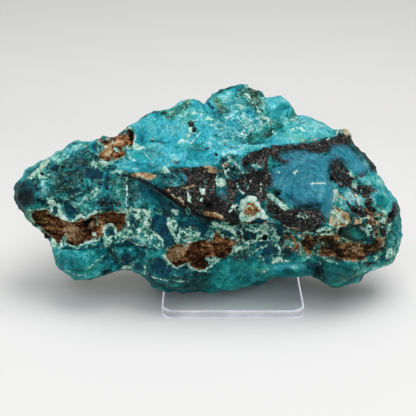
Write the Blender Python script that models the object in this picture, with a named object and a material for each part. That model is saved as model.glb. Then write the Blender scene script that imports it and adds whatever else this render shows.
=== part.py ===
"""Chrysocolla specimen standing on a clear acrylic easel.

The stone is one solid. Its shape is worked out in its own face plane, which leans back with the
easel: `across` runs to the right, `up` runs up the face, and `relief` stands out of the plane,
positive on the display face and negative on the back. Two sheets, a face and a back, meet along
the outline. Each is a rounded cap cut by fracture planes, with hollows, ledges and lumps on it.

The easel is one sheet, bent up at the back, with rounded corners.

All sizes below are in millimetres. The origin is the centre of the easel's flat foot, on the table.
"""

import math

import bpy
import numpy as np

MM = 0.001

# --- easel: driving dimensions -------------------------------------------------------------------
EASEL_WIDTH = 63.5
EASEL_DEPTH = 48.5
SHEET_THICKNESS = 3.5
BACK_LENGTH = 52.0
LEAN_DEG = 22.0
BEND_RADIUS = 3.0
CORNER_RADIUS = 5.0
EDGE_SOFTENING = 0.45
CORNER_STEPS = 6
BEND_STEPS = 8

# --- stone: driving dimensions -------------------------------------------------------------------
# The face plane's middle, measured from the easel's foot.
FACE_MIDDLE = (-11.1, 7.2, 40.1)
# The stone tapers towards its display face, as if drawn to a point this far in front of it.
TAPER_DISTANCE = 447.0
FACE_CAP_DEPTH = 35.0
BACK_CAP_DEPTH = 33.0
CAP_ROUNDNESS = 2.7
CONTACT_GAP = 0.3
SHEET_COLUMNS = 190
SHEET_ROWS = 96
SOLID_TRIANGLES = 7600

OUTLINE_CENTRE = (2.0, 5.0)
OUTLINE = [
    (-89, 4.5), (-88, 11), (-82.5, 17), (-77.5, 20.5), (-72, 23), (-65.5, 27), (-61.5, 30),
    (-54, 30), (-48, 32), (-43, 33), (-39.5, 35), (-36, 37.5), (-33.5, 38.5), (-30.5, 41.5),
    (-25, 44.5), (-19.5, 45.5), (-15.5, 45.5), (-14, 47.5), (-10, 49.5), (-8, 50), (-4, 49),
    (-2, 47.5), (0, 49.5), (3, 51.5), (5, 54), (9, 55), (14.5, 56.5), (17.5, 56), (19.5, 54.5),
    (23.5, 54), (25, 53), (26, 50), (29.5, 50.5), (33.5, 51.5), (37.5, 48), (41, 42.5), (44, 42.5),
    (53.5, 38), (57.5, 35.5), (62.5, 35), (65, 33), (66.5, 29), (72, 23.5), (76, 20), (78, 15),
    (83.5, 7), (86.5, 3.5), (87.5, -4), (89, -12.5), (86.5, -20), (85.5, -23.5), (82.5, -26.5),
    (75, -28), (71, -30.5), (68.5, -33.5), (60.5, -36.5), (56.5, -36.5), (51.5, -33.5), (47.5, -31),
    (41, -32), (34.5, -32.5), (30.5, -32), (26.5, -34), (18.5, -36.5), (8, -38.5), (-7.5, -38.5),
    (-17.5, -38.5), (-24, -37), (-27, -35), (-29, -32.5), (-35, -29), (-40, -29), (-48, -31.5),
    (-50.5, -31.5), (-54, -33.5), (-61, -33), (-65.5, -29.5), (-69, -27.5), (-70.5, -23), (-71.5, -16),
    (-77, -10.5), (-80.5, -8), (-82, -5.5), (-84.5, -3), (-87, 1),
]

# Fracture planes: a point on the plane (across, up, relief) and how much the relief changes for
# each millimetre across and each millimetre up.
FACE_PLANES = {
    "upper face": ((14.5, 24.0, 28.5), (-0.05, -0.84)),
    "upper right face": ((45.0, 33.0, 25.5), (-0.32, -0.95)),
    "dark face": ((10.0, 8.0, 29.0), (0.02, 0.07)),
    "right face": ((56.0, 10.0, 29.5), (-0.55, 0.10)),
    "left upper face": ((-35.0, 16.0, 24.5), (0.26, -0.62)),
    "left lower face": ((-50.0, 0.0, 20.5), (0.30, 0.18)),
    "lower face": ((0.0, -15.0, 28.0), (0.02, 0.62)),
    "lower right face": ((60.0, -15.0, 25.0), (-0.35, 0.45)),
}
BACK_PLANES = {
    "back": ((0.0, 0.0, 27.6), (0.0, 0.0)),
    "back left": ((-45.0, 5.0, 23.0), (0.32, -0.12)),
    "back right": ((50.0, 0.0, 24.0), (-0.38, -0.1)),
    "back top": ((10.0, 30.0, 25.0), (0.12, -0.72)),
    "back lower left": ((-40.0, -12.0, 23.0), (0.15, 0.5)),
    "back lower right": ((45.0, -14.0, 23.0), (-0.2, 0.55)),
}
PLANE_BLEND = 1.2

# Steps in the face: a line, how far the lower side drops, and how far away the drop has healed.
# The lower side is on the right of the line, going from its first point to its last.
LEDGES = [
    ([(-36, 14.5), (-26.5, 10), (-19.5, 5), (-13, 0), (-5, -4), (3, -6), (14.5, -8.5), (28, -8),
      (37.5, -11), (47.5, -13)], 3.2, 13.0),
    ([(56.5, 29), (56, 14), (57.5, -3)], -1.2, 7.0),
    ([(16, 29.5), (23, 30), (28, 32.5), (33, 37)], -2.2, 6.0),
    ([(27, 49), (28.5, 42), (36, 40.5), (41.5, 41)], 1.6, 8.0),
    ([(-68, 1), (-59, 6), (-53, 10), (-45, 14)], 1.4, 7.0),
    ([(-35, 38), (-32, 32), (-28, 27), (-20, 23)], 1.3, 7.0),
]

# Hollows: an outline, a depth and the width of the wall.
HOLLOWS = {
    "lower left cavity": (
        [(-80, -2.5), (-73, -1.5), (-68, -6), (-60, -8.5), (-54, -5.5), (-45, -1.5), (-37, -1.5),
         (-38, -9), (-43, -8), (-49, -12), (-54, -15.5), (-62, -16), (-70, -15), (-78, -9)],
        3.4, 2.2),
    "lower middle cavity": (
        [(-19.5, -21), (-13, -18.5), (-5, -16), (3, -14.5), (6, -10), (9, -15), (14.5, -14),
         (12, -18.5), (6, -23), (-1, -26), (-6, -28), (-10, -25), (-16, -26)],
        3.2, 2.0),
    "upper left pocket": (
        [(-51, 31.5), (-43, 33), (-36, 37), (-34, 33), (-37, 26), (-45, 21), (-49, 26)], 1.6, 2.4),
    "summit hollow": ([(17, 30), (24, 40), (31, 39), (33, 35), (27, 31), (22, 30)], 2.6, 2.6),
    "green hollow": ([(61, -9.5), (71, -9), (72, -13), (63, -14.5)], 2.4, 1.8),
    "valley by the left foot": (
        [(-47, -18), (-38, -16), (-28, -18), (-28, -26), (-36, -31), (-47, -29)], 3.6, 5.0),
    "foot notch": ([(44, -27), (51, -25), (50, -34), (45, -33)], 2.2, 3.0),
}

# Lumps (positive height) and scoops (negative): centre, half-sizes, height.
LUMPS = {
    "left foot": ((-60, -24), (14, 10), 4.6),
    "middle foot": ((-14, -31), (18, 8), 3.2),
    "right foot": ((60, -28), (13, 8), 3.4),
    "nose": ((-81, 6), (9, 11), 2.0),
    "white nodule": ((19.5, 0), (5.6, 5.4), 2.0),
    "mint nodule": ((-8, -11.5), (4.6, 2.8), 1.4),
    "upper scoop": ((-15, 32), (15, 10), -1.7),
    "middle scoop": ((10, 33), (13, 8), -1.3),
    "window scoop": ((42, 12), (15, 15), -1.3),
    "left scoop": ((-62, 17), (10, 6), -1.2),
}

# Rough breakage: wavelength, amplitude and seed of each layer, coarse to fine.
SWELLS = [(34.0, 1.5, 11), (15.0, 0.9, 12), (7.0, 0.5, 13)]
CHIPS = [(16.0, 2.4, 21), (7.5, 1.0, 22)]
RIM_WAVES = [(2, 3.2, 0.4), (3, 2.4, 2.1), (5, 1.4, 4.0)]
# Share of the roughness that is left at the outline, and how far a nick in it is spread inside.
RIM_ROUGHNESS = 0.25
NICK_SPREAD_DEG = 7.0


def clear_scene():
    for obj in list(bpy.data.objects):
        bpy.data.objects.remove(obj)


def finish(name, colour, roughness, alpha=1.0):
    """A plain Principled material in the piece's own colour."""
    material = bpy.data.materials.new(name)
    material.use_nodes = True
    shader = material.node_tree.nodes["Principled BSDF"]
    shader.inputs["Base Color"].default_value = (*colour, 1.0)
    shader.inputs["Roughness"].default_value = roughness
    shader.inputs["Metallic"].default_value = 0.0
    shader.inputs["Transmission Weight"].default_value = 1.0 - alpha
    return material


def add_object(name, points_mm, faces, material):
    mesh = bpy.data.meshes.new(name)
    mesh.from_pydata((np.asarray(points_mm) * MM).tolist(), [], faces)
    mesh.materials.append(material)
    mesh.validate()
    obj = bpy.data.objects.new(name, mesh)
    bpy.context.scene.collection.objects.link(obj)
    return obj


# --- noise ---------------------------------------------------------------------------------------
def lattice_value(cell, seed):
    """A fixed pseudo-random number from 0 to 1 for each whole-number cell."""
    x, y, z = (cell[..., i].astype(np.int64) for i in range(3))
    mixed = (x * 73856093) ^ (y * 19349663) ^ (z * 83492791) ^ (seed * 40503)
    mixed = (mixed & 0xFFFFFFFF) * 1274126177 & 0xFFFFFFFF
    mixed = (mixed ^ (mixed >> 15)) * 2246822519 & 0xFFFFFFFF
    return (mixed ^ (mixed >> 13)) / 0xFFFFFFFF


def swell(points, wavelength, seed):
    """Smooth noise from -1 to 1: random values at lattice corners, blended between them."""
    scaled = points / wavelength
    cell = np.floor(scaled)
    part = scaled - cell
    blend = part**3 * (part * (part * 6 - 15) + 10)
    total = 0.0
    for corner in np.ndindex(2, 2, 2):
        weight = np.prod(np.where(np.array(corner) == 1, blend, 1 - blend), axis=-1)
        total = total + weight * lattice_value(cell + corner, seed)
    return total * 2 - 1


def chips(points, size, seed):
    """Shallow bowls with sharp rims between them, as in chipped stone, from 0 to about 1.

    Each point takes the squared distance to the nearest of the scattered bowl centres.
    """
    scaled = points / size
    cell = np.floor(scaled)
    nearest = np.full(len(points), 9.0)
    for step in np.ndindex(3, 3, 3):
        neighbour = cell + step - 1
        centre = neighbour + np.stack([lattice_value(neighbour, seed + 7 * k) for k in range(3)], -1)
        nearest = np.minimum(nearest, ((scaled - centre) ** 2).sum(-1))
    return nearest


# --- shapes in the face plane --------------------------------------------------------------------
def smooth_step(low, high, value):
    part = np.clip((value - low) / (high - low), 0, 1)
    return part * part * (3 - 2 * part)


def soft_minimum(a, b, width):
    """The smaller of two heights, with the edge between them rounded over a width."""
    overlap = np.maximum(width - np.abs(a - b), 0) / width
    return np.minimum(a, b) - overlap * overlap * width / 4


def outline_radius(angle):
    """Distance from the outline's centre to the outline, in each direction."""
    corners = np.array(OUTLINE) - OUTLINE_CENTRE
    corners = corners[np.argsort(np.arctan2(corners[:, 1], corners[:, 0]))]
    bearings = np.arctan2(corners[:, 1], corners[:, 0])
    after = np.searchsorted(bearings, angle) % len(corners)
    start, side = corners[after - 1], corners[after] - corners[after - 1]
    across = start[:, 0] * side[:, 1] - start[:, 1] * side[:, 0]
    along = np.cos(angle) * side[:, 1] - np.sin(angle) * side[:, 0]
    return across / along


def outline_reach(angle, radius):
    """The outline at the rim, evened out further in so that its nicks don't run up the face."""
    turns = np.radians(np.linspace(-NICK_SPREAD_DEG, NICK_SPREAD_DEG, 9))
    wrapped = (angle[:, None] + turns + math.pi) % (2 * math.pi) - math.pi
    even = outline_radius(wrapped.ravel()).reshape(wrapped.shape).mean(axis=1)
    return even + (outline_radius(angle) - even) * radius**8


def distance_to_line(a, b, line):
    """(distance, signed side, share along the line) from each point to a bent line."""
    best, side, place = np.full(len(a), 1e9), np.zeros(len(a)), np.zeros(len(a))
    for k in range(len(line) - 1):
        (x0, y0), (x1, y1) = line[k], line[k + 1]
        dx, dy = x1 - x0, y1 - y0
        share = ((a - x0) * dx + (b - y0) * dy) / (dx * dx + dy * dy)
        held = np.clip(share, 0, 1)
        gap = np.hypot(a - x0 - held * dx, b - y0 - held * dy)
        closer = gap < best
        best = np.where(closer, gap, best)
        side = np.where(closer, (b - y0) * dx - (a - x0) * dy, side)
        place = np.where(closer, (k + share) / (len(line) - 1), place)
    return best, side, place


def inside_distance(a, b, corners):
    """Distance to a closed outline, positive inside it."""
    loop = [*corners, corners[0]]
    gap = distance_to_line(a, b, loop)[0]
    crossings = np.zeros(len(a), bool)
    for (x0, y0), (x1, y1) in zip(loop[:-1], loop[1:]):
        if y0 != y1:
            meets = (b < y0) != (b < y1)
            crossings ^= meets & (a < x0 + (b - y0) * (x1 - x0) / (y1 - y0))
    return np.where(crossings, gap, -gap)


def plane_height(a, b, planes):
    height = np.full(len(a), 99.0)
    for (a0, b0, relief), (per_across, per_up) in planes.values():
        plane = relief + per_across * (a - a0) + per_up * (b - b0)
        height = soft_minimum(height, plane, PLANE_BLEND)
    return height


def face_features(a, b):
    """Relief added to the display face by its ledges, hollows, lumps and scoops."""
    relief = np.zeros(len(a))
    for line, drop, reach in LEDGES:
        gap, side, place = distance_to_line(a, b, line)
        below = smooth_step(0.0, 1.4, np.where(side < 0, gap, 0.0))
        ends = smooth_step(-0.1, 0.12, place) * smooth_step(-0.1, 0.12, 1 - place)
        relief -= drop * below * ends * np.exp(-((gap / reach) ** 2))
    for corners, depth, wall in HOLLOWS.values():
        relief -= depth * smooth_step(-wall / 2, wall / 2, inside_distance(a, b, corners))
    for (a0, b0), (half_a, half_b), height in LUMPS.values():
        distance = np.hypot((a - a0) / half_a, (b - b0) / half_b)
        relief += height * (1 - smooth_step(0.0, 1.0, distance))
    return relief


# --- the stone -----------------------------------------------------------------------------------
def sheet_grid():
    """Radius share and direction of each grid point of a sheet, with even spacing over the cap.

    A square grid is wrapped onto a disc ring by ring, and the disc is stretched to the outline's
    proportions.
    """
    s, t = np.meshgrid(np.linspace(-1, 1, SHEET_COLUMNS + 1), np.linspace(-1, 1, SHEET_ROWS + 1))
    wide = np.abs(s) >= np.abs(t)
    ring = np.where(wide, np.abs(s), np.abs(t))
    safe_s, safe_t = np.where(s == 0, 1e-9, s), np.where(t == 0, 1e-9, t)
    turn = np.where(wide, math.pi / 4 * t / safe_s, math.pi / 2 - math.pi / 4 * s / safe_t)
    turn = np.where(np.where(wide, s, t) < 0, turn + math.pi, turn)
    half_width = (max(p[0] for p in OUTLINE) - min(p[0] for p in OUTLINE)) / 2
    half_height = (max(p[1] for p in OUTLINE) - min(p[1] for p in OUTLINE)) / 2
    angle = np.arctan2(np.sin(turn) * half_height, np.cos(turn) * half_width)
    return ring.ravel(), angle.ravel()


def cap_profile(ring):
    """(radius share, depth share) of a rounded cap, spaced evenly along its curve."""
    sweep = np.linspace(0, math.pi / 2, 400)
    radius, depth = np.sin(sweep) ** (2 / CAP_ROUNDNESS), np.cos(sweep) ** (2 / CAP_ROUNDNESS)
    mean_radius = 62.0
    steps = np.hypot(np.diff(radius) * mean_radius, np.diff(depth) * FACE_CAP_DEPTH)
    travelled = np.concatenate([[0], np.cumsum(steps)]) / steps.sum()
    return np.interp(ring, travelled, radius), np.interp(ring, travelled, depth)


def sheet_points(is_face):
    """Points (across, up, relief) of the face or the back, and the way each may be pushed."""
    ring, angle = sheet_grid()
    radius, depth = cap_profile(ring)
    reach = radius * outline_reach(angle, radius)
    a = OUTLINE_CENTRE[0] + reach * np.cos(angle)
    b = OUTLINE_CENTRE[1] + reach * np.sin(angle)
    if is_face:
        height = soft_minimum(plane_height(a, b, FACE_PLANES), FACE_CAP_DEPTH * depth, PLANE_BLEND)
        height = height + face_features(a, b) * smooth_step(0.05, 0.45, depth)
    else:
        height = soft_minimum(plane_height(a, b, BACK_PLANES), BACK_CAP_DEPTH * depth, PLANE_BLEND)
        height = -height
    height = np.where(ring >= 1, 0.0, height)
    wave = sum(size * np.sin(count * angle + phase) for count, size, phase in RIM_WAVES)
    points = np.stack([a, b, height + wave * radius**3], -1)
    outward = np.stack([np.cos(angle) * radius, np.sin(angle) * radius,
                        np.where(is_face, depth, -depth)], -1)
    outward /= np.linalg.norm(outward, axis=-1, keepdims=True)
    freedom = 1 - (1 - RIM_ROUGHNESS) * radius**6
    return points, outward * freedom[:, None]


def roughened(points, outward):
    """The points pushed in and out by swells and chips."""
    shift = sum(size * swell(points, length, seed) for length, size, seed in SWELLS)
    shift = shift + sum(size * (chips(points, length, seed) - 0.35) for length, size, seed in CHIPS)
    return points + outward * shift[:, None]


def to_table(points):
    """Face-plane points moved to where the stone leans on the easel."""
    taper = 1 - points[:, 2] / TAPER_DISTANCE
    across, up, relief = points[:, 0] * taper, points[:, 1] * taper, points[:, 2]
    lean = math.radians(LEAN_DEG)
    x = FACE_MIDDLE[0] + across
    y = FACE_MIDDLE[1] + up * math.sin(lean) - relief * math.cos(lean)
    z = FACE_MIDDLE[2] + up * math.cos(lean) + relief * math.sin(lean)
    return np.stack([x, y, z], -1)


def rested(points):
    """The stone's high spots worn flat where it sits on the foot and leans on the back."""
    x, y, z = points.T
    z = np.maximum(z, SHEET_THICKNESS + CONTACT_GAP)
    lean = math.radians(LEAN_DEG)
    foot_line = EASEL_DEPTH / 2 + (z - SHEET_THICKNESS) * math.tan(lean)
    y = np.minimum(y, foot_line - CONTACT_GAP / math.cos(lean))
    # The bend between foot and back is rounded, so the stone's lower back edge is broken too.
    corner = (EASEL_DEPTH / 2 - y) + (z - SHEET_THICKNESS) * 0.7
    short = np.maximum(BEND_RADIUS * 0.9 - corner, 0)
    return np.stack([x, y - short, z], -1)


def sheet_faces():
    """Quads of one sheet's grid, and the grid points along its border."""
    index = np.arange((SHEET_ROWS + 1) * (SHEET_COLUMNS + 1)).reshape(SHEET_ROWS + 1, -1)
    corners = (index[:-1, :-1], index[:-1, 1:], index[1:, 1:], index[1:, :-1])
    quads = np.stack([c.ravel() for c in corners], -1)
    border = np.zeros(index.shape, bool)
    border[[0, -1], :] = border[:, [0, -1]] = True
    return quads, border.ravel()


def make_stone():
    face, face_outward = sheet_points(is_face=True)
    back, back_outward = sheet_points(is_face=False)
    quads, border = sheet_faces()
    # The back sheet shares the face sheet's border points.
    renumbered = np.empty(len(back), int)
    renumbered[border] = np.flatnonzero(border)
    renumbered[~border] = len(face) + np.arange((~border).sum())
    points = np.concatenate([face, back[~border]])
    outward = np.concatenate([face_outward, back_outward[~border]])
    faces = np.concatenate([quads, renumbered[quads][:, ::-1]]).tolist()
    placed = rested(to_table(roughened(points, outward)))
    stone = add_object("chrysocolla_stone", placed, faces, finish("stone", (0.05, 0.33, 0.38), 0.6))
    thin = stone.modifiers.new("fewer faces", "DECIMATE")
    thin.ratio = SOLID_TRIANGLES / (2 * len(faces))
    stone.data.shade_smooth()
    stone.data.set_sharp_from_angle(angle=math.radians(35))
    return stone


# --- the easel -----------------------------------------------------------------------------------
def easel_path():
    """(place, upward normal, distance from the nearer end) of stations along the sheet's middle.

    The sheet lies flat from its front edge, turns up through a bend and leans back.
    """
    turn = math.radians(90 - LEAN_DEG)
    middle_radius = BEND_RADIUS + SHEET_THICKNESS / 2
    tangent = middle_radius * math.tan(turn / 2)
    corner_y = EASEL_DEPTH / 2 + SHEET_THICKNESS / 2 * math.tan(turn / 2)
    flat_end = corner_y - tangent
    flat = flat_end + EASEL_DEPTH / 2
    bend = middle_radius * turn
    rounding = [CORNER_RADIUS * (1 - math.cos(math.pi / 2 * k / CORNER_STEPS))
                for k in range(CORNER_STEPS + 1)]
    total = flat + bend + BACK_LENGTH
    stations = [*rounding, *(flat + bend * k / BEND_STEPS for k in range(BEND_STEPS + 1)),
                *(total - r for r in reversed(rounding))]
    path = []
    for s in stations:
        angle = min(max((s - flat) / bend, 0.0), 1.0) * turn
        y = min(s, flat) - EASEL_DEPTH / 2 + middle_radius * math.sin(angle)
        z = SHEET_THICKNESS / 2 + middle_radius * (1 - math.cos(angle))
        past = max(s - flat - bend, 0.0)
        y, z = y + past * math.cos(turn), z + past * math.sin(turn)
        path.append(((y, z), (-math.sin(angle), math.cos(angle)), min(s, total - s)))
    return path


def make_easel():
    points = []
    for (y, z), (normal_y, normal_z), from_end in easel_path():
        inset = max(CORNER_RADIUS - from_end, 0.0)
        half = EASEL_WIDTH / 2 - CORNER_RADIUS + math.sqrt(max(CORNER_RADIUS**2 - inset**2, 0.0))
        for side, level in ((-1, -1), (1, -1), (1, 1), (-1, 1)):
            lift = level * SHEET_THICKNESS / 2
            points.append((side * half, y + normal_y * lift, z + normal_z * lift))
    rings = len(points) // 4
    faces = [[0, 3, 2, 1][::-1], [4 * (rings - 1) + k for k in (0, 3, 2, 1)]]
    for r in range(rings - 1):
        for k in range(4):
            here, there = 4 * r + k, 4 * r + (k + 1) % 4
            faces.append([here, here + 4, there + 4, there])
    easel = add_object("acrylic_easel", points, faces, finish("acrylic", (0.93, 0.95, 0.96), 0.05, 0.2))
    soften = easel.modifiers.new("softened edges", "BEVEL")
    soften.width = EDGE_SOFTENING * MM
    soften.segments = 2
    soften.limit_method = "ANGLE"
    soften.angle_limit = math.radians(50)
    easel.data.shade_smooth()
    easel.data.set_sharp_from_angle(angle=math.radians(30))
    return easel


clear_scene()
make_stone()
make_easel()
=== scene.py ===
"""A chrysocolla specimen on a clear easel: the stone's fine surface, its finishes and a plain studio.

The stone is drawn in its own face plane, which leans back with the easel. In that plane `across`
runs right, `up` runs up the face and `relief` stands out of it, in millimetres. The stone's form
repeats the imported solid's, and adds the small breakage, crusts, pits and pigments that lie on it.
Every mesh is handed over in metres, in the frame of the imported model.
"""

import logging
import math
from dataclasses import dataclass, field
from enum import Enum

import bpy
import numpy as np
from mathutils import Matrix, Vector


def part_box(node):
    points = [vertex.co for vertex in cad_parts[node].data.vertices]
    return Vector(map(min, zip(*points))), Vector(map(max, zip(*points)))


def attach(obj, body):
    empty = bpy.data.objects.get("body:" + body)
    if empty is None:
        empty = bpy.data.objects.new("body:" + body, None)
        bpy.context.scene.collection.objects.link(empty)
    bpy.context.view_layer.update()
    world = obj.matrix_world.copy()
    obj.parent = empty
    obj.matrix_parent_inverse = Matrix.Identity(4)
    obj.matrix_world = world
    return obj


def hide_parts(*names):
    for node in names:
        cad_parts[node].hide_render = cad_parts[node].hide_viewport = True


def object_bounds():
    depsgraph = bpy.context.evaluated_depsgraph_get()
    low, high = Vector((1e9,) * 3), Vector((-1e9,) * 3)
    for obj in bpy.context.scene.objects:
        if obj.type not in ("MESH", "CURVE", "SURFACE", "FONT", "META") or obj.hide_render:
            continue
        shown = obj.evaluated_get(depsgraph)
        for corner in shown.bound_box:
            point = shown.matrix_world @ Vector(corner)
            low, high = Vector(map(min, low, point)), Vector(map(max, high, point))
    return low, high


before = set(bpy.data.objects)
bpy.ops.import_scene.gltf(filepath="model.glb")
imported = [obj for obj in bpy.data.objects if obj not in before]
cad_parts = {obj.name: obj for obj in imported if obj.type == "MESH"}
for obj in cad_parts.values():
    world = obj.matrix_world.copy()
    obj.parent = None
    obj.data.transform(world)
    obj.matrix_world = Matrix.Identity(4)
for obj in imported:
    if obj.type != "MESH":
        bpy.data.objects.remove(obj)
CAD_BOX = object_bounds()

log = logging.getLogger("specimen")

Array = np.ndarray
Point = tuple[float, float]
Outline = tuple[Point, ...]
Corners = Outline | Array
Plane = tuple[tuple[float, float, float], Point]
Socket = bpy.types.NodeSocket
Tree = bpy.types.NodeTree
Colour = tuple[int, int, int]
Stops = tuple[tuple[float, Colour], ...]

# The corners of a line or an outline on the face plane: across and up in turn, in drawn steps.
Drawn = tuple[int, ...]

MM = 0.001
LEAN_DEG = 22.0
DRAWN_STEP = 0.5


# --- what is drawn on the stone ------------------------------------------------------------------
class Pigment(Enum):
    """The coloured matter that lies in patches on the chrysocolla, in the order it is laid.

    The value is the name of its attribute. HOLE is near-black: black specks, and painted shade in
    the holes.
    """

    WINDOW = "window"
    BLACK = "black"
    BROWN = "rust"
    TAN = "tan"
    NAVY = "navy"
    CRUST = "crust"
    PALE = "pale"
    OCHRE = "ochre"
    HOLE = "hollow"


@dataclass(frozen=True)
class Carving:
    """A groove (negative height) or a raised rib along a bent line, sized in millimetres."""

    width: float
    height: float
    line: Drawn


@dataclass(frozen=True)
class Region:
    """A stretch of chrysocolla with its own lightness, greenness, pale speckle and roughness.

    The feather is the width of its edge, in millimetres.
    """

    name: str
    tone: float
    hue: float
    speckle: float
    rough: float
    feather: float
    corners: Drawn


@dataclass(frozen=True)
class Dab:
    """A soft oval that is lighter or darker, greener (positive hue) or bluer than its region.

    Its centre is in drawn steps and its half-sizes are in millimetres. A few dark dabs are
    painted shadow in the crevice under the ledge and painted shade in a hole.
    """

    across: int
    up: int
    half_width: float
    half_height: float
    tone: float
    hue: float = 0.0
    tilt_deg: float = 0.0


# The large form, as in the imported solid, in millimetres: the outline; the fracture planes, each a
# point and its slopes across and up; the ledges, each a line, a drop and a reach; the hollows, each
# an outline, a depth and a wall; and the lumps, each a centre, half-sizes and a height.
OUTLINE: Outline = (
    (-89, 4.5), (-88, 11), (-82.5, 17), (-77.5, 20.5), (-72, 23), (-65.5, 27), (-61.5, 30),
    (-54, 30), (-48, 32), (-43, 33), (-39.5, 35), (-36, 37.5), (-33.5, 38.5), (-30.5, 41.5),
    (-25, 44.5), (-19.5, 45.5), (-15.5, 45.5), (-14, 47.5), (-10, 49.5), (-8, 50), (-4, 49),
    (-2, 47.5), (0, 49.5), (3, 51.5), (5, 54), (9, 55), (14.5, 56.5), (17.5, 56), (19.5, 54.5),
    (23.5, 54), (25, 53), (26, 50), (29.5, 50.5), (33.5, 51.5), (37.5, 48), (41, 42.5), (44, 42.5),
    (53.5, 38), (57.5, 35.5), (62.5, 35), (65, 33), (66.5, 29), (72, 23.5), (76, 20), (78, 15),
    (83.5, 7), (86.5, 3.5), (87.5, -4), (89, -12.5), (86.5, -20), (85.5, -23.5), (82.5, -26.5),
    (75, -28), (71, -30.5), (68.5, -33.5), (60.5, -36.5), (56.5, -36.5), (51.5, -33.5), (47.5, -31),
    (41, -32), (34.5, -32.5), (30.5, -32), (26.5, -34), (18.5, -36.5), (8, -38.5), (-7.5, -38.5),
    (-17.5, -38.5), (-24, -37), (-27, -35), (-29, -32.5), (-35, -29), (-40, -29), (-48, -31.5),
    (-50.5, -31.5), (-54, -33.5), (-61, -33), (-65.5, -29.5), (-69, -27.5), (-70.5, -23),
    (-71.5, -16), (-77, -10.5), (-80.5, -8), (-82, -5.5), (-84.5, -3), (-87, 1),
)
FACE_PLANES: tuple[Plane, ...] = (
    ((14.5, 24.0, 28.5), (-0.05, -0.84)),
    ((45.0, 33.0, 25.5), (-0.32, -0.95)),
    ((10.0, 8.0, 29.0), (0.02, 0.07)),
    ((56.0, 10.0, 29.5), (-0.55, 0.10)),
    ((-35.0, 16.0, 24.5), (0.26, -0.62)),
    ((-50.0, 0.0, 20.5), (0.30, 0.18)),
    ((0.0, -15.0, 28.0), (0.02, 0.62)),
    ((60.0, -15.0, 25.0), (-0.35, 0.45)),
)
BACK_PLANES: tuple[Plane, ...] = (
    ((0.0, 0.0, 27.6), (0.0, 0.0)),
    ((-45.0, 5.0, 23.0), (0.32, -0.12)),
    ((50.0, 0.0, 24.0), (-0.38, -0.1)),
    ((10.0, 30.0, 25.0), (0.12, -0.72)),
    ((-40.0, -12.0, 23.0), (0.15, 0.5)),
    ((45.0, -14.0, 23.0), (-0.2, 0.55)),
)
LEDGES: tuple[tuple[Outline, float, float], ...] = (
    (((-36, 14.5), (-26.5, 10), (-19.5, 5), (-13, 0), (-5, -4), (3, -6), (14.5, -8.5), (28, -8),
      (37.5, -11), (47.5, -13)), 3.2, 13.0),
    (((56.5, 29), (56, 14), (57.5, -3)), -1.2, 7.0),
    (((16, 29.5), (23, 30), (28, 32.5), (33, 37)), -2.2, 6.0),
    (((27, 49), (28.5, 42), (36, 40.5), (41.5, 41)), 1.6, 8.0),
    (((-68, 1), (-59, 6), (-53, 10), (-45, 14)), 1.4, 7.0),
    (((-35, 38), (-32, 32), (-28, 27), (-20, 23)), 1.3, 7.0),
)
HOLLOWS: tuple[tuple[Outline, float, float], ...] = (
    (((-80, -2.5), (-73, -1.5), (-68, -6), (-60, -8.5), (-54, -5.5), (-45, -1.5), (-37, -1.5),
      (-38, -9), (-43, -8), (-49, -12), (-54, -15.5), (-62, -16), (-70, -15), (-78, -9)), 3.4, 2.2),
    (((-19.5, -21), (-13, -18.5), (-5, -16), (3, -14.5), (6, -10), (9, -15), (14.5, -14),
      (12, -18.5), (6, -23), (-1, -26), (-6, -28), (-10, -25), (-16, -26)), 3.2, 2.0),
    (((-51, 31.5), (-43, 33), (-36, 37), (-34, 33), (-37, 26), (-45, 21), (-49, 26)), 1.6, 2.4),
    (((17, 30), (24, 40), (31, 39), (33, 35), (27, 31), (22, 30)), 2.6, 2.6),
    (((61, -9.5), (71, -9), (72, -13), (63, -14.5)), 2.4, 1.8),
    (((-47, -18), (-38, -16), (-28, -18), (-28, -26), (-36, -31), (-47, -29)), 3.6, 5.0),
    (((44, -27), (51, -25), (50, -34), (45, -33)), 2.2, 3.0),
)
LUMPS: tuple[tuple[Point, Point, float], ...] = (
    ((-60, -24), (14, 10), 4.6),
    ((-14, -31), (18, 8), 3.2),
    ((60, -28), (13, 8), 3.4),
    ((-81, 6), (9, 11), 2.0),
    ((19.5, 0), (5.6, 5.4), 2.0),
    ((-8, -11.5), (4.6, 2.8), 1.4),
    ((-15, 32), (15, 10), -1.7),
    ((10, 33), (13, 8), -1.3),
    ((42, 12), (15, 15), -1.3),
    ((-62, 17), (10, 6), -1.2),
)

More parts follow.
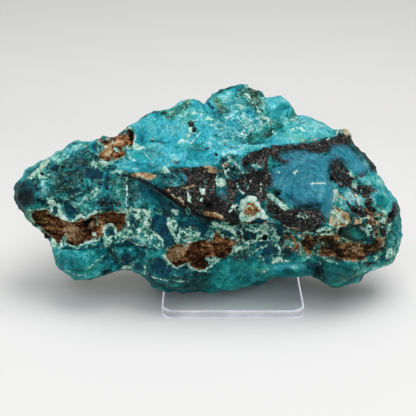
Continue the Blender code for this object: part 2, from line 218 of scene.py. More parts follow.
# The small form and the colours. Each pigment lies in patches inside an outline and in streaks
# along a line, which are gathered by their width in millimetres.
PATCHES: dict[Pigment, tuple[Drawn, ...]] = {
    Pigment.WINDOW: (
        (67, 49, 74, 53, 82, 54, 101, 49, 107, 48, 112, 51, 112, 27, 116, 15, 115, 4, 110, -11, 104,
         -8, 101, -2, 81, 0, 64, 10, 67, 16, 55, 18, 60, 29, 58, 35, 69, 39, 64, 48),
        (112, 58, 121, 58, 127, 60, 148, 34, 145, 32, 134, 29, 127, 39, 122, 43, 116, 43, 113, 41),
        (9, 16, 16, 17, 18, 10, 11, 10),
    ),
    Pigment.BLACK: (
        (-18, 79, -14, 80, -12, 76, -10, 71, -12, 69, -15, 74, -18, 73),
        (-73, 29, -57, 25, -47, 18, -41, 16, -37, 19, -22, 20, -19, 26, -22, 31, -27, 37, -3, 37, 5,
         35, 8, 30, 8, 10, 26, 2, 27, -3, 27, -12, 19, -13, 12, -8, -7, -3, -15, -5, -27, 1, -53, 18),
        (15, 26, 19, 28, 25, 27, 40, 34, 32, 38, 31, 44, 34, 48, 40, 51, 62, 58, 65, 56, 71, 55, 61,
         46, 55, 46, 55, 38, 58, 26, 57, 19, 53, 16, 54, 8, 49, 3, 43, 9, 35, 12, 29, 16, 27, 10, 29,
         5, 22, 3, 18, 7, 16, 14, 17, 20),
        (57, 57, 62, 58, 75, 57, 98, 60, 121, 67, 129, 65, 133, 58, 112, 57, 109, 53, 102, 50, 80, 54,
         64, 51),
        (53, 8, 73, -2, 80, 0, 101, -3, 108, -12, 104, -15, 101, -21, 93, -25, 84, -23, 58, -9, 54,
         -2),
        (130, 64, 145, 46, 151, 41, 154, 34, 162, 25, 152, 32, 149, 37, 132, 57),
        (117, 44, 122, 43, 126, 39, 131, 28, 137, 27, 136, 25, 132, 24, 126, 18, 120, 17, 112, 27,
         113, 41),
        (135, 18, 141, 22, 149, 20, 152, 17, 155, 17, 154, 14, 149, 12, 145, 8, 139, 11),
        (129, 17, 135, 18, 140, 14, 137, 8, 133, 9), (125, 23, 132, 24, 132, 18, 126, 18),
        (125, 6, 133, 2, 140, 2, 144, -1, 146, -8, 140, -9, 133, -5, 128, -1),
        (143, 7, 149, 9, 152, 5, 149, 2, 154, 0, 155, -5, 149, -6, 144, -3),
        (168, 5, 174, 4, 174, -4, 170, -13, 164, -16, 162, -10, 167, -4),
        (142, -50, 152, -50, 152, -52, 146, -54, 142, -53),
        (18, -13, 29, -16, 38, -17, 57, -14, 43, -9, 37, -14, 31, -15),
        (158, -18, 163, -19, 161, -26, 157, -29, 160, -35, 154, -38, 154, -29),
        (144, -7, 161, -10, 165, -15, 159, -17, 154, -15, 148, -16),
    ),
    Pigment.BROWN: (
        (-102, 63, -100, 64, -96, 62, -91, 65, -74, 68, -74, 72, -72, 73, -67, 68, -69, 59, -77, 58,
         -78, 54, -74, 51, -75, 48, -83, 45, -88, 45, -91, 41, -94, 44, -99, 45, -101, 48, -95, 55,
         -96, 58),
        (-147, -3, -139, -8, -134, -9, -133, -14, -126, -16, -121, -14, -117, -10, -111, -11, -108,
         -7, -101, -6, -99, -5, -72, -4, -76, -13, -75, -17, -73, -19, -78, -16, -82, -23, -85, -18,
         -85, -16, -90, -15, -93, -17, -98, -27, -121, -33, -126, -32, -132, -26, -134, -27, -136,
         -32, -135, -36, -141, -28, -147, -25, -153, -19, -161, -8, -158, -4),
        (-40, -45, -37, -39, -30, -35, -7, -30, 5, -31, 6, -23, 10, -20, 14, -29, 26, -31, 27, -26,
         31, -25, 29, -30, 23, -36, 20, -42, 15, -46, -2, -46, -1, -51, 3, -56, -2, -59, -6, -57, -15,
         -56, -16, -52, -22, -51, -29, -55, -36, -51),
        (104, -34, 115, -31, 126, -35, 145, -48, 136, -50, 112, -44, 102, -39),
        (121, -32, 153, -33, 149, -42, 143, -47),
        (95, -27, 118, -25, 121, -28, 116, -33, 109, -35, 101, -33),
        (88, -24, 99, -26, 101, -31, 92, -44, 87, -38, 84, -32),
        (152, -29, 159, -27, 161, -33, 155, -40, 150, -40), (157, -5, 162, -7, 161, -13, 156, -11),
        (101, -40, 119, -44, 112, -46, 102, -44), (-23, -26, -16, -26, -16, -28, -22, -28),
    ),
    Pigment.TAN: (
        (117, 2, 129, -6, 131, -12, 128, -17, 119, -21, 110, -16, 112, -5),
        (-37, -44, -34, -40, -22, -36, -19, -38, -23, -47, -27, -49, -31, -50, -37, -48),
        (-4, 37, 2, 38, 8, 36, 7, 33, 1, 34),
        (-72, 31, -60, 32, -48, 30, -47, 28, -53, 25, -59, 27, -69, 28),
        (-9, -3, 9, -4, 17, -11, 13, -12, 2, -9), (120, 69, 125, 70, 129, 69, 131, 65, 125, 65),
        (-133, -19, -128, -16, -121, -18, -115, -22, -117, -28, -124, -30, -130, -27),
        (-110, -16, -106, -13, -102, -13, -101, -17, -105, -20, -110, -20),
        (-95, 57, -91, 59, -87, 58, -88, 51, -91, 45, -95, 48),
        (133, -36, 141, -36, 144, -38, 143, -45, 137, -41), (13, 39, 16, 40, 20, 38, 16, 36, 12, 37),
        (154, -5, 160, -5, 161, -9, 156, -10), (145, -7, 150, -8, 152, -13, 146, -12),
        (152, -12, 157, -14, 158, -18, 153, -17), (157, -27, 162, -28, 163, -34, 158, -35),
        (135, -10, 141, -9, 140, -15, 134, -16),
    ),
    Pigment.NAVY: (
        (-131, 5, -119, -1, -123, -5, -125, -10, -128, -10, -131, -5),
        (-142, -2, -137, -2, -137, -6, -141, -6), (-129, 13, -122, 17, -116, 19, -118, 15, -129, 10),
        (-154, 4, -146, 7, -147, 5, -152, 2), (-146, 40, -143, 42, -135, 37, -138, 33, -144, 36),
        (-112, 36, -102, 37, -95, 32, -97, 27, -106, 26, -112, 29),
        (-93, -20, -87, -20, -87, -24, -90, -26), (-73, -13, -69, -11, -68, -16, -71, -17),
        (-48, -7, -41, -9, -37, -16, -37, -23, -33, -29, -32, -35, -38, -36, -40, -29, -44, -24, -51,
         -20, -53, -13),
        (-27, -18, -27, -13, -7, -12, 0, -16, 0, -20, -4, -27, -7, -27, -8, -22, -11, -18, -18, -18,
         -24, -22),
        (15, -20, 16, -17, 19, -19, 22, -22, 24, -27, 21, -29, 16, -26),
        (33, -25, 37, -23, 41, -24, 42, -28, 38, -31, 34, -28),
        (44, -32, 58, -30, 55, -35, 49, -37, 45, -37),
        (57, -36, 63, -35, 64, -40, 58, -44, 49, -45, 51, -38),
        (60, -16, 68, -18, 70, -23, 66, -26, 61, -21), (-44, 33, -40, 31, -37, 27, -42, 25),
        (18, 27, 24, 30, 29, 29, 29, 27, 20, 25), (26, 11, 30, 13, 31, 7, 28, 2, 24, 4),
        (43, -10, 48, -9, 52, -12, 48, -15, 43, -15),
        (-47, -49, -38, -51, -32, -57, -37, -64, -46, -62, -51, -57),
        (-66, -51, -61, -50, -59, -56, -63, -59, -67, -57),
        (-102, 61, -100, 58, -101, 51, -104, 53, -106, 58), (-22, -51, -17, -52, -16, -56, -20, -58),
        (87, -52, 93, -50, 98, -54, 97, -59, 91, -57),
        (143, -29, 150, -27, 154, -29, 148, -33, 142, -33), (156, -44, 162, -44, 164, -49, 159, -49),
    ),
    Pigment.CRUST: (
        (-143, 46, -154, 32, -144, 31, -148, 27, -165, 26, -167, 28, -150, 43),
        (-148, 10, -141, 10, -138, 5, -143, 1, -148, 4),
        (-106, 46, -101, 43, -94, 43, -91, 40, -95, 37, -100, 38, -101, 35, -106, 37),
        (-80, -22, -74, -20, -69, -24, -71, -29, -77, -32, -82, -27),
        (-97, -27, -90, -28, -86, -32, -90, -37, -96, -37),
        (-60, -19, -55, -21, -50, -26, -51, -30, -57, -27),
        (-37, -9, -30, -9, -28, -16, -30, -23, -28, -29, -25, -34, -31, -30, -37, -16),
        (-27, -23, -21, -19, -12, -20, -8, -25, -10, -29, -22, -27),
        (36, -18, 55, -17, 60, -19, 65, -27, 64, -32, 56, -29, 44, -29, 43, -24, 37, -22),
        (-2, -47, 15, -44, 7, -51, 0, -51), (16, -44, 30, -35, 36, -33, 37, -38, 22, -44),
        (4, -13, 13, -13, 27, -18, 26, -22, 18, -19, 11, -20, 5, -18),
        (99, -22, 106, -17, 113, -19, 113, -22), (-86, 57, -81, 57, -80, 53, -85, 52),
        (121, -9, 124, -7, 126, -13, 122, -16), (155, -9, 160, -7, 163, -12, 157, -13),
        (143, -16, 148, -16, 152, -22, 144, -22), (163, -16, 168, -16, 168, -24, 164, -23),
        (165, -38, 172, -37, 170, -46, 163, -49), (150, -44, 157, -42, 159, -48, 152, -49),
        (58, -44, 68, -46, 69, -49, 60, -50), (-73, -51, -69, -50, -69, -56, -77, -58, -79, -54),
        (-143, -29, -139, -30, -137, -34, -139, -37, -143, -36),
    ),
    Pigment.PALE: (
        (-18, 73, -16, 74, -12, 72, -12, 69, -15, 68, -17, 64, -21, 64, -18, 69),
        (27, -2, 30, 5, 35, 11, 42, 10, 49, 2, 55, -9, 52, -11, 46, -9, 38, -13, 31, -14, 28, -11, 30,
         -3),
        (53, 11, 58, 12, 66, 7, 74, -1, 70, -3), (7, 26, 11, 27, 16, 26, 16, 20, 12, 18, 8, 20),
        (-43, 37, -39, 38, -36, 34, -38, 32, -43, 33), (-69, -5, -63, -5, -61, -8, -66, -11),
        (-59, -10, -54, -9, -54, -16, -59, -17), (-68, 59, -64, 58, -58, 53, -63, 52, -74, 56),
        (-35, -2, -30, -1, -27, -4, -27, -7, -31, -6), (132, 24, 136, 24, 138, 20, 136, 16, 132, 18),
        (115, 16, 119, 16, 120, 10, 115, 5, 113, 5), (78, 32, 80, 34, 82, 34, 81, 30, 79, 30),
        (-105, -25, -103, -22, -101, -25, -102, -27, -104, -27), (-8, 18, -3, 17, -2, 12, -6, 11),
        (-19, 9, -16, 10, -15, 4, -18, 4), (122, -18, 118, -21, 118, -16),
        (139, -18, 146, -20, 149, -25, 145, -27), (129, 32, 133, 29, 132, 27, 126, 32),
        (-9, 8, -5, 8, -6, 5),
    ),
    Pigment.OCHRE: (
        (33, 4, 37, 7, 42, 5, 47, 1, 48, -4, 44, -7, 35, -7, 32, -3),
        (69, -26, 74, -26, 75, -29, 70, -30), (75, -26, 79, -27, 80, -32, 76, -31),
        (80, -32, 84, -35, 82, -40, 79, -38), (121, -15, 126, -14, 125, -17, 121, -16),
    ),
    Pigment.HOLE: (
        (-117, 25, -113, 26, -114, 21),
        (-112, -13, -107, -9, -102, -10, -109, -15, -112, -20, -115, -19),
        (-126, -30, -119, -32, -113, -30, -113, -32, -121, -34, -126, -33),
        (-111, -23, -108, -21, -103, -21, -106, -23, -107, -27, -109, -27),
        (48, -26, 52, -24, 55, -27, 53, -30, 49, -30), (69, -27, 71, -27, 71, -30, 69, -29),
        (119, -21, 122, -20, 124, -22, 122, -26, 120, -27), (61, 15, 66, 14, 66, 11, 63, 10),
        (-15, 73, -12, 73, -12, 69, -15, 69), (-71, 72, -69, 69, -70, 61, -73, 63),
        (-150, -19, -144, -22, -144, -26, -149, -23), (6, 50, 10, 50, 10, 47, 6, 47),
        (37, 39, 39, 38, 41, 36, 38, 35), (112, 28, 115, 29, 116, 26, 113, 24),
        (-135, 38, -130, 38, -131, 36, -135, 35), (-154, 33, -150, 33, -149, 30, -152, 30),
        (143, 5, 147, 5, 147, 2, 144, 2), (132, -1, 137, -1, 136, -5, 133, -4),
        (-4, 5, 4, 5, 5, 0, -2, -1), (150, 0, 154, -1, 154, -4, 150, -3),
        (165, -5, 170, -3, 169, -9, 165, -10), (146, -52, 152, -49, 150, -53),
        (-5, -53, -2, -53, -1, -56, -5, -56),
    ),
}
STREAKS: dict[Pigment, dict[float, tuple[Drawn, ...]]] = {
    Pigment.CRUST: {
        0.4: ((93, -57, 112, -45), (38, 27, 37, 15), (-53, -62, -42, -66, -29, -68, -16, -67),
            (-38, -55, -22, -69), (48, 22, 48, 12)),
        0.5: ((-121, -3, -106, 15), (-117, 2, -101, 16), (46, -49, 47, -45, 49, -46, 51, -51),
            (61, -49, 49, -62), (143, -16, 150, -20, 154, -17, 161, -18), (84, -28, 90, -26, 97, -27),
            (-58, -49, -57, -57, -58, -62), (122, -2, 123, -6, 121, -11),
            (-130, -58, -122, -62, -113, -63, -106, -60), (27, 33, 32, 31, 37, 32),
            (26, 22, 29, 18, 35, 16)),
        0.6: ((-101, 60, -100, 55, -101, 48, -105, 50, -107, 54), (-87, -36, -91, -46),
            (-58, 53, -41, 48, -37, 51), (99, -29, 112, -38), (134, -9, 148, -10),
            (115, 0, 118, -5, 117, -10), (112, -7, 116, -13, 122, -15)),
        0.7: ((38, -43, 46, -38, 54, -36), (-26, -31, -28, -26, -27, -19, -22, -18),
            (-57, -28, -46, -38, -37, -39), (121, -5, 115, -18), (39, 38, 44, 39, 48, 36),
            (-98, -37, -106, -34, -113, -36)),
        0.8: ((69, -23, 75, -23, 80, -27, 79, -32, 71, -32),
            (-51, -24, -46, -27, -43, -33, -47, -37), (57, -46, 68, -49, 77, -49)),
        0.9: ((-59, -6, -58, -15, -60, -19), (62, -21, 65, -27, 62, -35, 65, -40, 64, -44),
            (-7, -29, 4, -31, 5, -26, -2, -24, -4, -27), (-29, -29, -24, -35, -18, -35),
            (7, -18, 13, -26, 20, -29, 25, -28), (-68, -16, -62, -22, -64, -27)),
        1.0: ((-64, -4, -62, -11, -65, -16), (-102, -8, -101, -16)),
        1.1: ((-74, -4, -75, -11, -73, -18, -69, -22), (-88, -27, -80, -27, -74, -29, -71, -25),
            (29, -16, 35, -20, 55, -18)),
        1.2: ((-54, -6, -52, -13, -56, -19, -63, -21, -69, -19),
            (5, -13, 13, -18, 20, -20, 26, -26, 27, -31),
            (26, -19, 32, -23, 31, -29, 37, -33, 44, -30)),
        1.4: ((-79, -4, -71, -1, -54, -6),),
        1.8: ((114, -5, 126, -15),),
    },
    Pigment.PALE: {
        0.4: ((22, 96, 25, 92, 29, 93), (29, 77, 32, 73, 30, 69, 34, 66, 32, 62),
            (36, 75, 31, 71, 36, 69), (27, 68, 37, 61), (37, 103, 42, 99, 45, 93, 48, 90),
            (49, 89, 51, 84, 56, 82, 55, 77, 58, 73), (33, 82, 38, 80, 36, 76, 40, 73),
            (57, 31, 65, 31), (19, 46, 26, 40, 29, 35), (13, 40, 20, 37, 29, 38), (26, 84, 32, 75),
            (80, 73, 97, 69), (80, 82, 101, 73), (2, 75, 13, 80), (-58, 51, -53, 44),
            (-130, 6, -112, 16), (-131, 5, -118, 0), (-108, -55, -91, -40), (7, 58, 20, 64),
            (-29, 58, -24, 61, -20, 59), (73, 71, 84, 73)),
        0.5: ((-163, -3, -149, -2, -144, 1), (-84, -32, -73, -32, -53, -37),
            (-72, -4, -66, -1, -52, -5), (-94, 63, -90, 63, -87, 59), (-74, 48, -67, 42),
            (-19, 60, -16, 59, -7, 68), (-14, 80, -3, 82, 4, 82), (22, 96, 26, 100, 36, 104, 38, 101),
            (-25, 84, -19, 86, -14, 84), (-15, 87, -5, 85), (75, 80, 81, 79, 89, 75),
            (59, 70, 62, 67, 67, 69, 70, 67, 73, 69), (26, 2, 20, -4), (29, 16, 34, 11),
            (15, 31, 19, 36), (-18, 15, -18, 7, -16, 4), (84, -5, 90, -8), (94, 22, 107, 22),
            (38, -18, 58, -17), (64, -34, 65, -43), (14, 37, 16, 30, 21, 26),
            (115, 16, 117, 10, 122, 5), (121, -10, 128, -15), (132, 15, 137, 8, 139, 2)),
        0.6: ((-133, -35, -134, -30, -133, -27, -130, -28, -130, -34), (5, -15, 11, -18, 26, -20),
            (26, -19, 32, -23, 30, -29, 35, -33), (33, -33, 40, -33, 46, -30, 57, -30),
            (13, -45, 25, -37, 29, -32), (-2, -48, 12, -46), (21, 2, 26, -5), (7, 25, 8, 29),
            (82, -7, 87, -9), (16, 40, 22, 43), (109, 63, 119, 69)),
        0.7: ((-87, 33, -78, 33, -72, 29), (-82, -24, -77, -20, -70, -22, -68, -27),
            (-52, -22, -46, -26, -41, -31, -41, -37), (-36, -10, -37, -16, -31, -29, -27, -34),
            (-26, -27, -27, -23, -21, -19, -13, -19, -8, -24), (55, -19, 62, -21, 65, -27, 63, -33),
            (-72, 74, -67, 69, -66, 64, -68, 59, -59, 54), (-74, 58, -72, 55),
            (44, 94, 49, 84, 55, 79)),
        0.8: ((-131, -33, -119, -35, -101, -30, -100, -28),
            (-95, -27, -95, -22, -93, -17, -90, -16, -85, -16, -85, -26, -90, -28), (-74, 27, -74, 1),
            (-41, -44, -37, -49, -29, -55, -21, -50, -16, -51, -16, -55, -9, -58, -2, -59, 4, -53)),
        1.2: ((-144, -4, -143, 0, -140, 2, -136, 1, -136, -6, -140, -9, -143, -7, -144, -4),),
        1.5: ((-134, -5, -133, -10, -126, -14, -122, -12, -117, -7, -113, -9, -102, -4),),
    },
    Pigment.TAN: {
        0.5: ((-52, 63, -44, 58), (5, 33, 11, 33, 15, 35), (49, -16, 55, -13, 60, -14),
            (99, 63, 84, 60), (121, 11, 126, 7)),
        0.6: ((-32, 11, -22, 4), (69, -16, 86, -23, 96, -29), (-3, 34, 4, 33, 7, 30),
            (-29, 9, -38, 16), (130, 64, 129, 67, 126, 69)),
        0.7: ((128, -37, 138, -44),),
        0.8: ((19, -14, 38, -16),),
        1.1: ((-22, 18, -13, 20),),
    },
    Pigment.BROWN: {
        0.5: ((110, -48, 119, -49),),
        0.6: ((66, -34, 84, -42), (46, -20, 54, -23), (146, -13, 152, -16, 155, -22)),
        0.7: ((84, -26, 93, -28, 102, -27), (144, -2, 152, -7, 159, -5), (4, -15, 10, -22)),
        0.9: ((-23, 2, -18, -4), (154, -18, 155, -26)),
    },
    Pigment.BLACK: {
        0.5: ((-175, 20, -173, 18, -167, 23), (-11, 53, -5, 52, 0, 54), (155, 2, 159, -2, 158, -5),
            (117, 41, 115, 33, 116, 27), (163, -40, 166, -46, 165, -49), (154, -46, 159, -49),
            (132, -29, 150, -29), (144, -35, 146, -42), (-31, 41, -27, 40, -25, 42), (-22, 45, -16, 46),
            (72, 85, 77, 90), (93, -49, 87, -53), (96, -55, 100, -60, 99, -66), (117, 16, 123, 13),
            (121, -18, 130, -16, 135, -17), (150, -35, 149, -44), (-80, -49, -73, -49)),
        0.6: ((141, -13, 144, -17), (161, -16, 163, -22, 161, -27), (31, 61, 38, 58, 44, 59),
            (136, 20, 133, 16), (132, -40, 139, -47, 144, -48), (13, 11, 20, 8), (20, -13, 38, -18)),
        0.7: ((57, 56, 70, 56, 84, 58, 121, 67), (132, 27, 141, 29, 146, 32), (13, 58, 21, 55),
            (144, -4, 150, -7, 154, -13, 152, -18), (134, 8, 136, 3), (119, -34, 128, -38, 137, -46),
            (-29, 2, -20, -5, -11, -8)),
        0.8: ((148, -16, 154, -20, 158, -26), (64, 48, 69, 41, 72, 42), (62, 46, 68, 43),
            (91, -26, 99, -29, 108, -30)),
        # These two streaks follow the crevice under the ledge: black crust, darkened further as painted
        # shadow.
        0.9: ((-73, 28, -62, 26, -53, 21, -26, 2),),
        1.6: ((-29, 5, -11, -7, 0, -11, 35, -18),),
    },
    Pigment.HOLE: {
        0.5: ((-16, 68, -11, 66), (124, 27, 127, 24), (62, 73, 57, 70), (55, 77, 58, 74, 58, 71),
            (53, 80, 49, 75), (58, 68, 54, 64), (36, 60, 42, 59)),
        0.6: ((-53, -38, -46, -39),),
        0.7: ((48, 90, 51, 87),),
    },
    Pigment.NAVY: {
        0.5: ((-128, -56, -119, -59, -108, -57), (-139, -49, -128, -64), (111, 29, 111, 38)),
        0.6: ((-53, 60, -46, 61, -39, 59), (-99, -58, -90, -60, -88, -57), (49, -49, 57, -53)),
        0.7: ((-60, 82, -53, 87, -46, 87), (-80, -36, -69, -35, -57, -37), (115, -53, 135, -58)),
        0.8: ((-80, -49, -73, -50),),
        0.9: ((-88, 44, -82, 42), (-135, -37, -112, -37, -99, -36), (99, -49, 106, -49, 109, -46),
            (5, 91, 0, 96)),
        2.3: ((38, 38, 44, 38, 48, 36),),
    },
    Pigment.OCHRE: {
        0.7: ((34, 1, 36, -5),),
    },
}
CARVED: tuple[Carving, ...] = (
    Carving(1.8, -1.4, (-73, 29, -51, 20, -16, -5, 29, -17, 52, -17)),
    Carving(1.0, -0.8, (-132, 16, -121, 16, -112, 13, -130, 5)),
    Carving(0.8, 0.6, (-130, 8, -119, 3, -108, 1)),
    Carving(1.1, -1.0, (-132, -37, -108, -35, -95, -36)), Carving(1.2, 0.5, (-74, 27, -74, -4)),
    Carving(0.9, -0.8, (49, 82, 57, 88, 73, 92, 79, 96)), Carving(0.9, -0.8, (73, 91, 72, 84, 76, 80)),
    Carving(0.9, 0.5, (75, 80, 89, 75, 107, 70)), Carving(1.1, -1.0, (32, 59, 58, 61)),
    Carving(1.5, -0.5, (-65, 71, -61, 60, -53, 52, -41, 47)),
    Carving(0.7, -0.6, (98, -55, 112, -53, 125, -55, 135, -60)),
    Carving(0.7, -0.5, (101, -60, 115, -60, 126, -65)),
    Carving(1.0, -0.9, (99, -49, 104, -57, 106, -66, 113, -71)),
    Carving(1.4, -1.2, (84, -54, 92, -48, 98, -53, 99, -62)), Carving(0.9, 0.5, (61, -55, 89, -48)),
    Carving(1.4, -1.0, (-90, -38, -84, -46, -88, -55, -95, -60)),
    Carving(1.1, -0.7, (-88, -37, -71, -35, -58, -38)),
    Carving(0.9, -0.5, (-53, -46, -42, -49, -29, -57)),
    Carving(0.7, 0.5, (112, 57, 111, 30, 113, 12, 112, -2)),
    Carving(0.9, -0.6, (-55, -6, -51, -20, -44, -34)),
    Carving(0.8, -0.5, (-38, -6, -38, -22, -33, -34)), Carving(1.1, -0.8, (-5, 95, -1, 88, 9, 82)),
    Carving(1.4, -0.7, (38, 107, 42, 95, 55, 69)), Carving(1.1, -0.7, (-157, 7, -146, 2, -135, 4)),
    Carving(1.2, -0.8, (-110, 62, -106, 51, -101, 42)), Carving(0.9, -0.5, (125, 16, 132, 5, 141, 0)),
    Carving(0.9, -0.6, (132, 53, 141, 38, 144, 29)), Carving(0.9, -0.5, (146, -45, 157, -40, 165, -32)),
    Carving(0.9, 0.8, (-67, -37, -80, -37, -88, -44, -94, -52, -104, -60)),
    Carving(0.7, -0.7, (69, 75, 62, 71, 59, 67, 49, 61, 37, 58)),
    Carving(0.6, 0.6, (22, 96, 31, 102, 38, 101)), Carving(5.0, 1.7, (41, 69, 51, 71, 58, 76)),
    Carving(0.7, -0.6, (112, -22, 125, -27, 141, -29)), Carving(0.7, -0.6, (127, -37, 143, -48)),
    Carving(0.6, -0.5, (-7, -30, 5, -37, 18, -36)), Carving(0.6, -0.5, (-16, -46, -7, -40, 7, -38)),
)
REGIONS: tuple[Region, ...] = (
    Region("upper face", 1.0, -0.3, 0.35, 0.45, 3.0, (-73, 75, -53, 91, -16, 102, -5, 97, 29, 115, 53,
           110, 75, 103, 84, 88, 116, 73, 116, 66, 101, 61, 75, 56, 38, 50, 18, 41, -3, 36, -26, 37,
           -44, 34, -71, 33, -82, 37, -75, 53, -66, 55, -71, 67)),
    Region("veined top", 0.85, -0.3, 0.7, 0.6, 5.0, (5, 88, 22, 101, 49, 102, 55, 80, 49, 60, 26, 55,
           5, 62)),
    Region("right of ridge", 1.0, 0.0, 0.35, 0.7, 3.0, (112, 19, 132, 29, 146, 33, 163, 26, 174, 7,
           175, -5, 163, -9, 139, -5, 125, 3, 116, -6, 112, 3)),
    Region("left lobe", 0.27, 0.02, 0.78, 1.0, 3.0, (-183, 20, -144, 53, -101, 64, -99, 46, -73, 46,
           -73, 33, -73, -2, -103, -5, -122, -13, -144, -5, -167, -5, -179, 4)),
    Region("olive end", 0.3, 1.0, 0.55, 0.9, 3.0, (-167, -4, -159, -3, -147, -3, -143, -11, -143, -20,
           -138, -29, -146, -27, -154, -21, -161, -15)),
    Region("tip", -0.45, 0.0, 0.35, 1.0, 5.0, (-183, 20, -163, 33, -159, 16, -155, 2, -170, -4, -181,
           4)),
    Region("below groove", -0.05, -0.05, 0.7, 0.9, 2.5, (-74, 26, -53, 18, -16, -5, 16, -15, 13, -27,
           -16, -31, -39, -40, -53, -37, -73, -27, -74, -4)),
    Region("left foot", 0.45, 0.0, 0.4, 0.7, 2.0, (-144, -33, -91, -32, -88, -46, -101, -68, -126,
           -69, -143, -53)),
    Region("valley", 0.05, -0.05, 0.6, 0.9, 3.0, (-91, -32, -55, -35, -53, -49, -53, -77, -73, -60,
           -99, -66, -95, -49)),
    Region("middle foot", -0.3, 0.15, 0.45, 0.8, 7.0, (-57, -46, -37, -51, -11, -58, 5, -51, 5, -80,
           -35, -80, -55, -73)),
    Region("network", -0.15, 0.15, 0.75, 0.9, 3.0, (5, -13, 75, -20, 84, -44, 49, -49, 16, -49, 27,
           -35)),
    Region("lower band", 0.3, 0.05, 0.3, 0.7, 6.0, (5, -49, 49, -48, 75, -46, 112, -42, 132, -46, 101,
           -53, 95, -68, 57, -71, -2, -82)),
    Region("right foot", -0.05, 0.35, 0.7, 0.9, 2.5, (101, -51, 125, -46, 150, -49, 150, -58, 126,
           -77, 101, -73, 95, -62)),
    Region("right edge", 0.55, 0.25, 0.6, 0.8, 3.0, (163, -9, 175, -5, 183, -29, 174, -53, 148, -60,
           141, -49, 157, -40, 161, -26)),
    Region("right brown zone", -0.5, 0.9, 1.0, 1.0, 2.0, (101, -22, 130, -16, 161, -13, 163, -38, 135,
           -48, 101, -46, 80, -40)),
    Region("dark block", 0.35, 0.35, 0.6, 0.9, 0.8, (44, 72, 49, 74, 53, 77, 57, 80, 61, 80, 65, 79,
           69, 75, 65, 74, 62, 71, 59, 70, 60, 67, 57, 64, 53, 64, 49, 61, 43, 58, 37, 58, 32, 60, 36,
           61, 38, 64, 37, 67, 39, 69)),
    Region("shaded facet", 0.35, 0.1, 0.15, 0.5, 0.8, (58, 88, 63, 93, 69, 95, 73, 94, 70, 88, 65, 82,
           58, 80, 57, 85)),
    Region("green facet", 0.15, 0.75, 0.15, 0.5, 0.8, (78, 91, 81, 87, 82, 81, 79, 80, 73, 82, 75,
           87)),
    Region("olive shelf", 0.75, 0.75, 0.8, 1.0, 2.0, (-46, 89, -39, 90, -33, 90, -27, 94, -22, 98,
           -17, 100, -14, 98, -14, 93, -18, 90, -22, 88, -27, 86, -30, 82, -37, 80, -40, 84, -44,
           86)),
    Region("olive peak", 0.65, 0.62, 1.0, 1.0, 3.0, (26, 108, 32, 112, 40, 113, 49, 106, 50, 94, 44,
           91, 38, 96, 33, 101, 27, 101)),
    Region("olive notch", 0.8, 0.7, 0.8, 1.0, 1.6, (5, 101, 8, 102, 10, 100, 13, 95, 16, 92, 19, 90,
           18, 88, 13, 87, 9, 90, 7, 94, 5, 98)),
    Region("green pocket", -0.35, 0.45, 0.3, 0.6, 0.8, (121, -22, 128, -19, 133, -18, 140, -22, 146,
           -26, 143, -29, 132, -29, 124, -27)),
    Region("bright flank", 0.95, 0.05, 0.55, 0.7, 3.0, (144, 44, 152, 33, 161, 24, 166, 16, 157, 16,
           146, 22, 139, 27, 135, 33)),
    Region("teal triangle", 1.0, 0.0, 0.4, 0.7, 1.0, (136, 26, 143, 29, 150, 30, 161, 24, 166, 15,
           157, 7, 150, 11, 154, 16, 148, 19, 141, 22)),
    Region("broken matrix", 1.0, -0.1, 0.6, 0.8, 2.0, (114, 44, 128, 44, 139, 27, 154, 20, 156, -5,
           132, -5, 119, 2, 114, 16)),
    Region("blue-green corner", 0.2, 0.0, 0.2, 0.5, 1.0, (153, 11, 161, 11, 165, 5, 163, -1, 155, 0)),
    Region("bright blue cell", 0.5, -0.6, 0.2, 0.6, 0.8, (-109, 60, -103, 62, -101, 57, -101, 49,
           -106, 51)),
    Region("blue band", 0.75, -0.7, 0.6, 0.7, 1.5, (-84, 42, -53, 41, -42, 37, -53, 32, -71, 33, -82,
           36)),
    Region("blue chip", 0.15, -0.55, 0.85, 0.8, 2.0, (-39, 34, -31, 37, -22, 34, -18, 27, -22, 20,
           -31, 19, -38, 23)),
    Region("smoky chip", -0.2, -0.35, 0.9, 0.9, 2.0, (13, 46, 22, 49, 32, 46, 35, 37, 32, 26, 20, 25,
           13, 29, 11, 38)),
    Region("dark wedge", -0.35, -0.35, 0.3, 0.8, 1.2, (-62, 25, -51, 16, -40, 8, -27, -2, -15, -8,
           -24, -10, -38, -5, -48, 0, -57, 9, -64, 16)),
    Region("speckled greys", 0.15, -0.2, 0.8, 1.0, 1.0, (19, 44, 26, 48, 31, 46, 32, 37, 24, 35, 19,
           38)),
    Region("chip bed", -0.1, -0.3, 0.7, 0.9, 1.0, (32, 33, 40, 41, 49, 38, 46, 31, 35, 29)),
    Region("conchoid", -0.25, 0.3, 0.15, 0.4, 1.2, (101, -53, 113, -49, 128, -51, 137, -58, 130, -66,
           117, -71, 108, -66)),
    Region("foot lip", 0.15, 0.35, 0.3, 0.6, 1.0, (102, -68, 117, -69, 130, -66, 124, -72, 113, -73)),
)
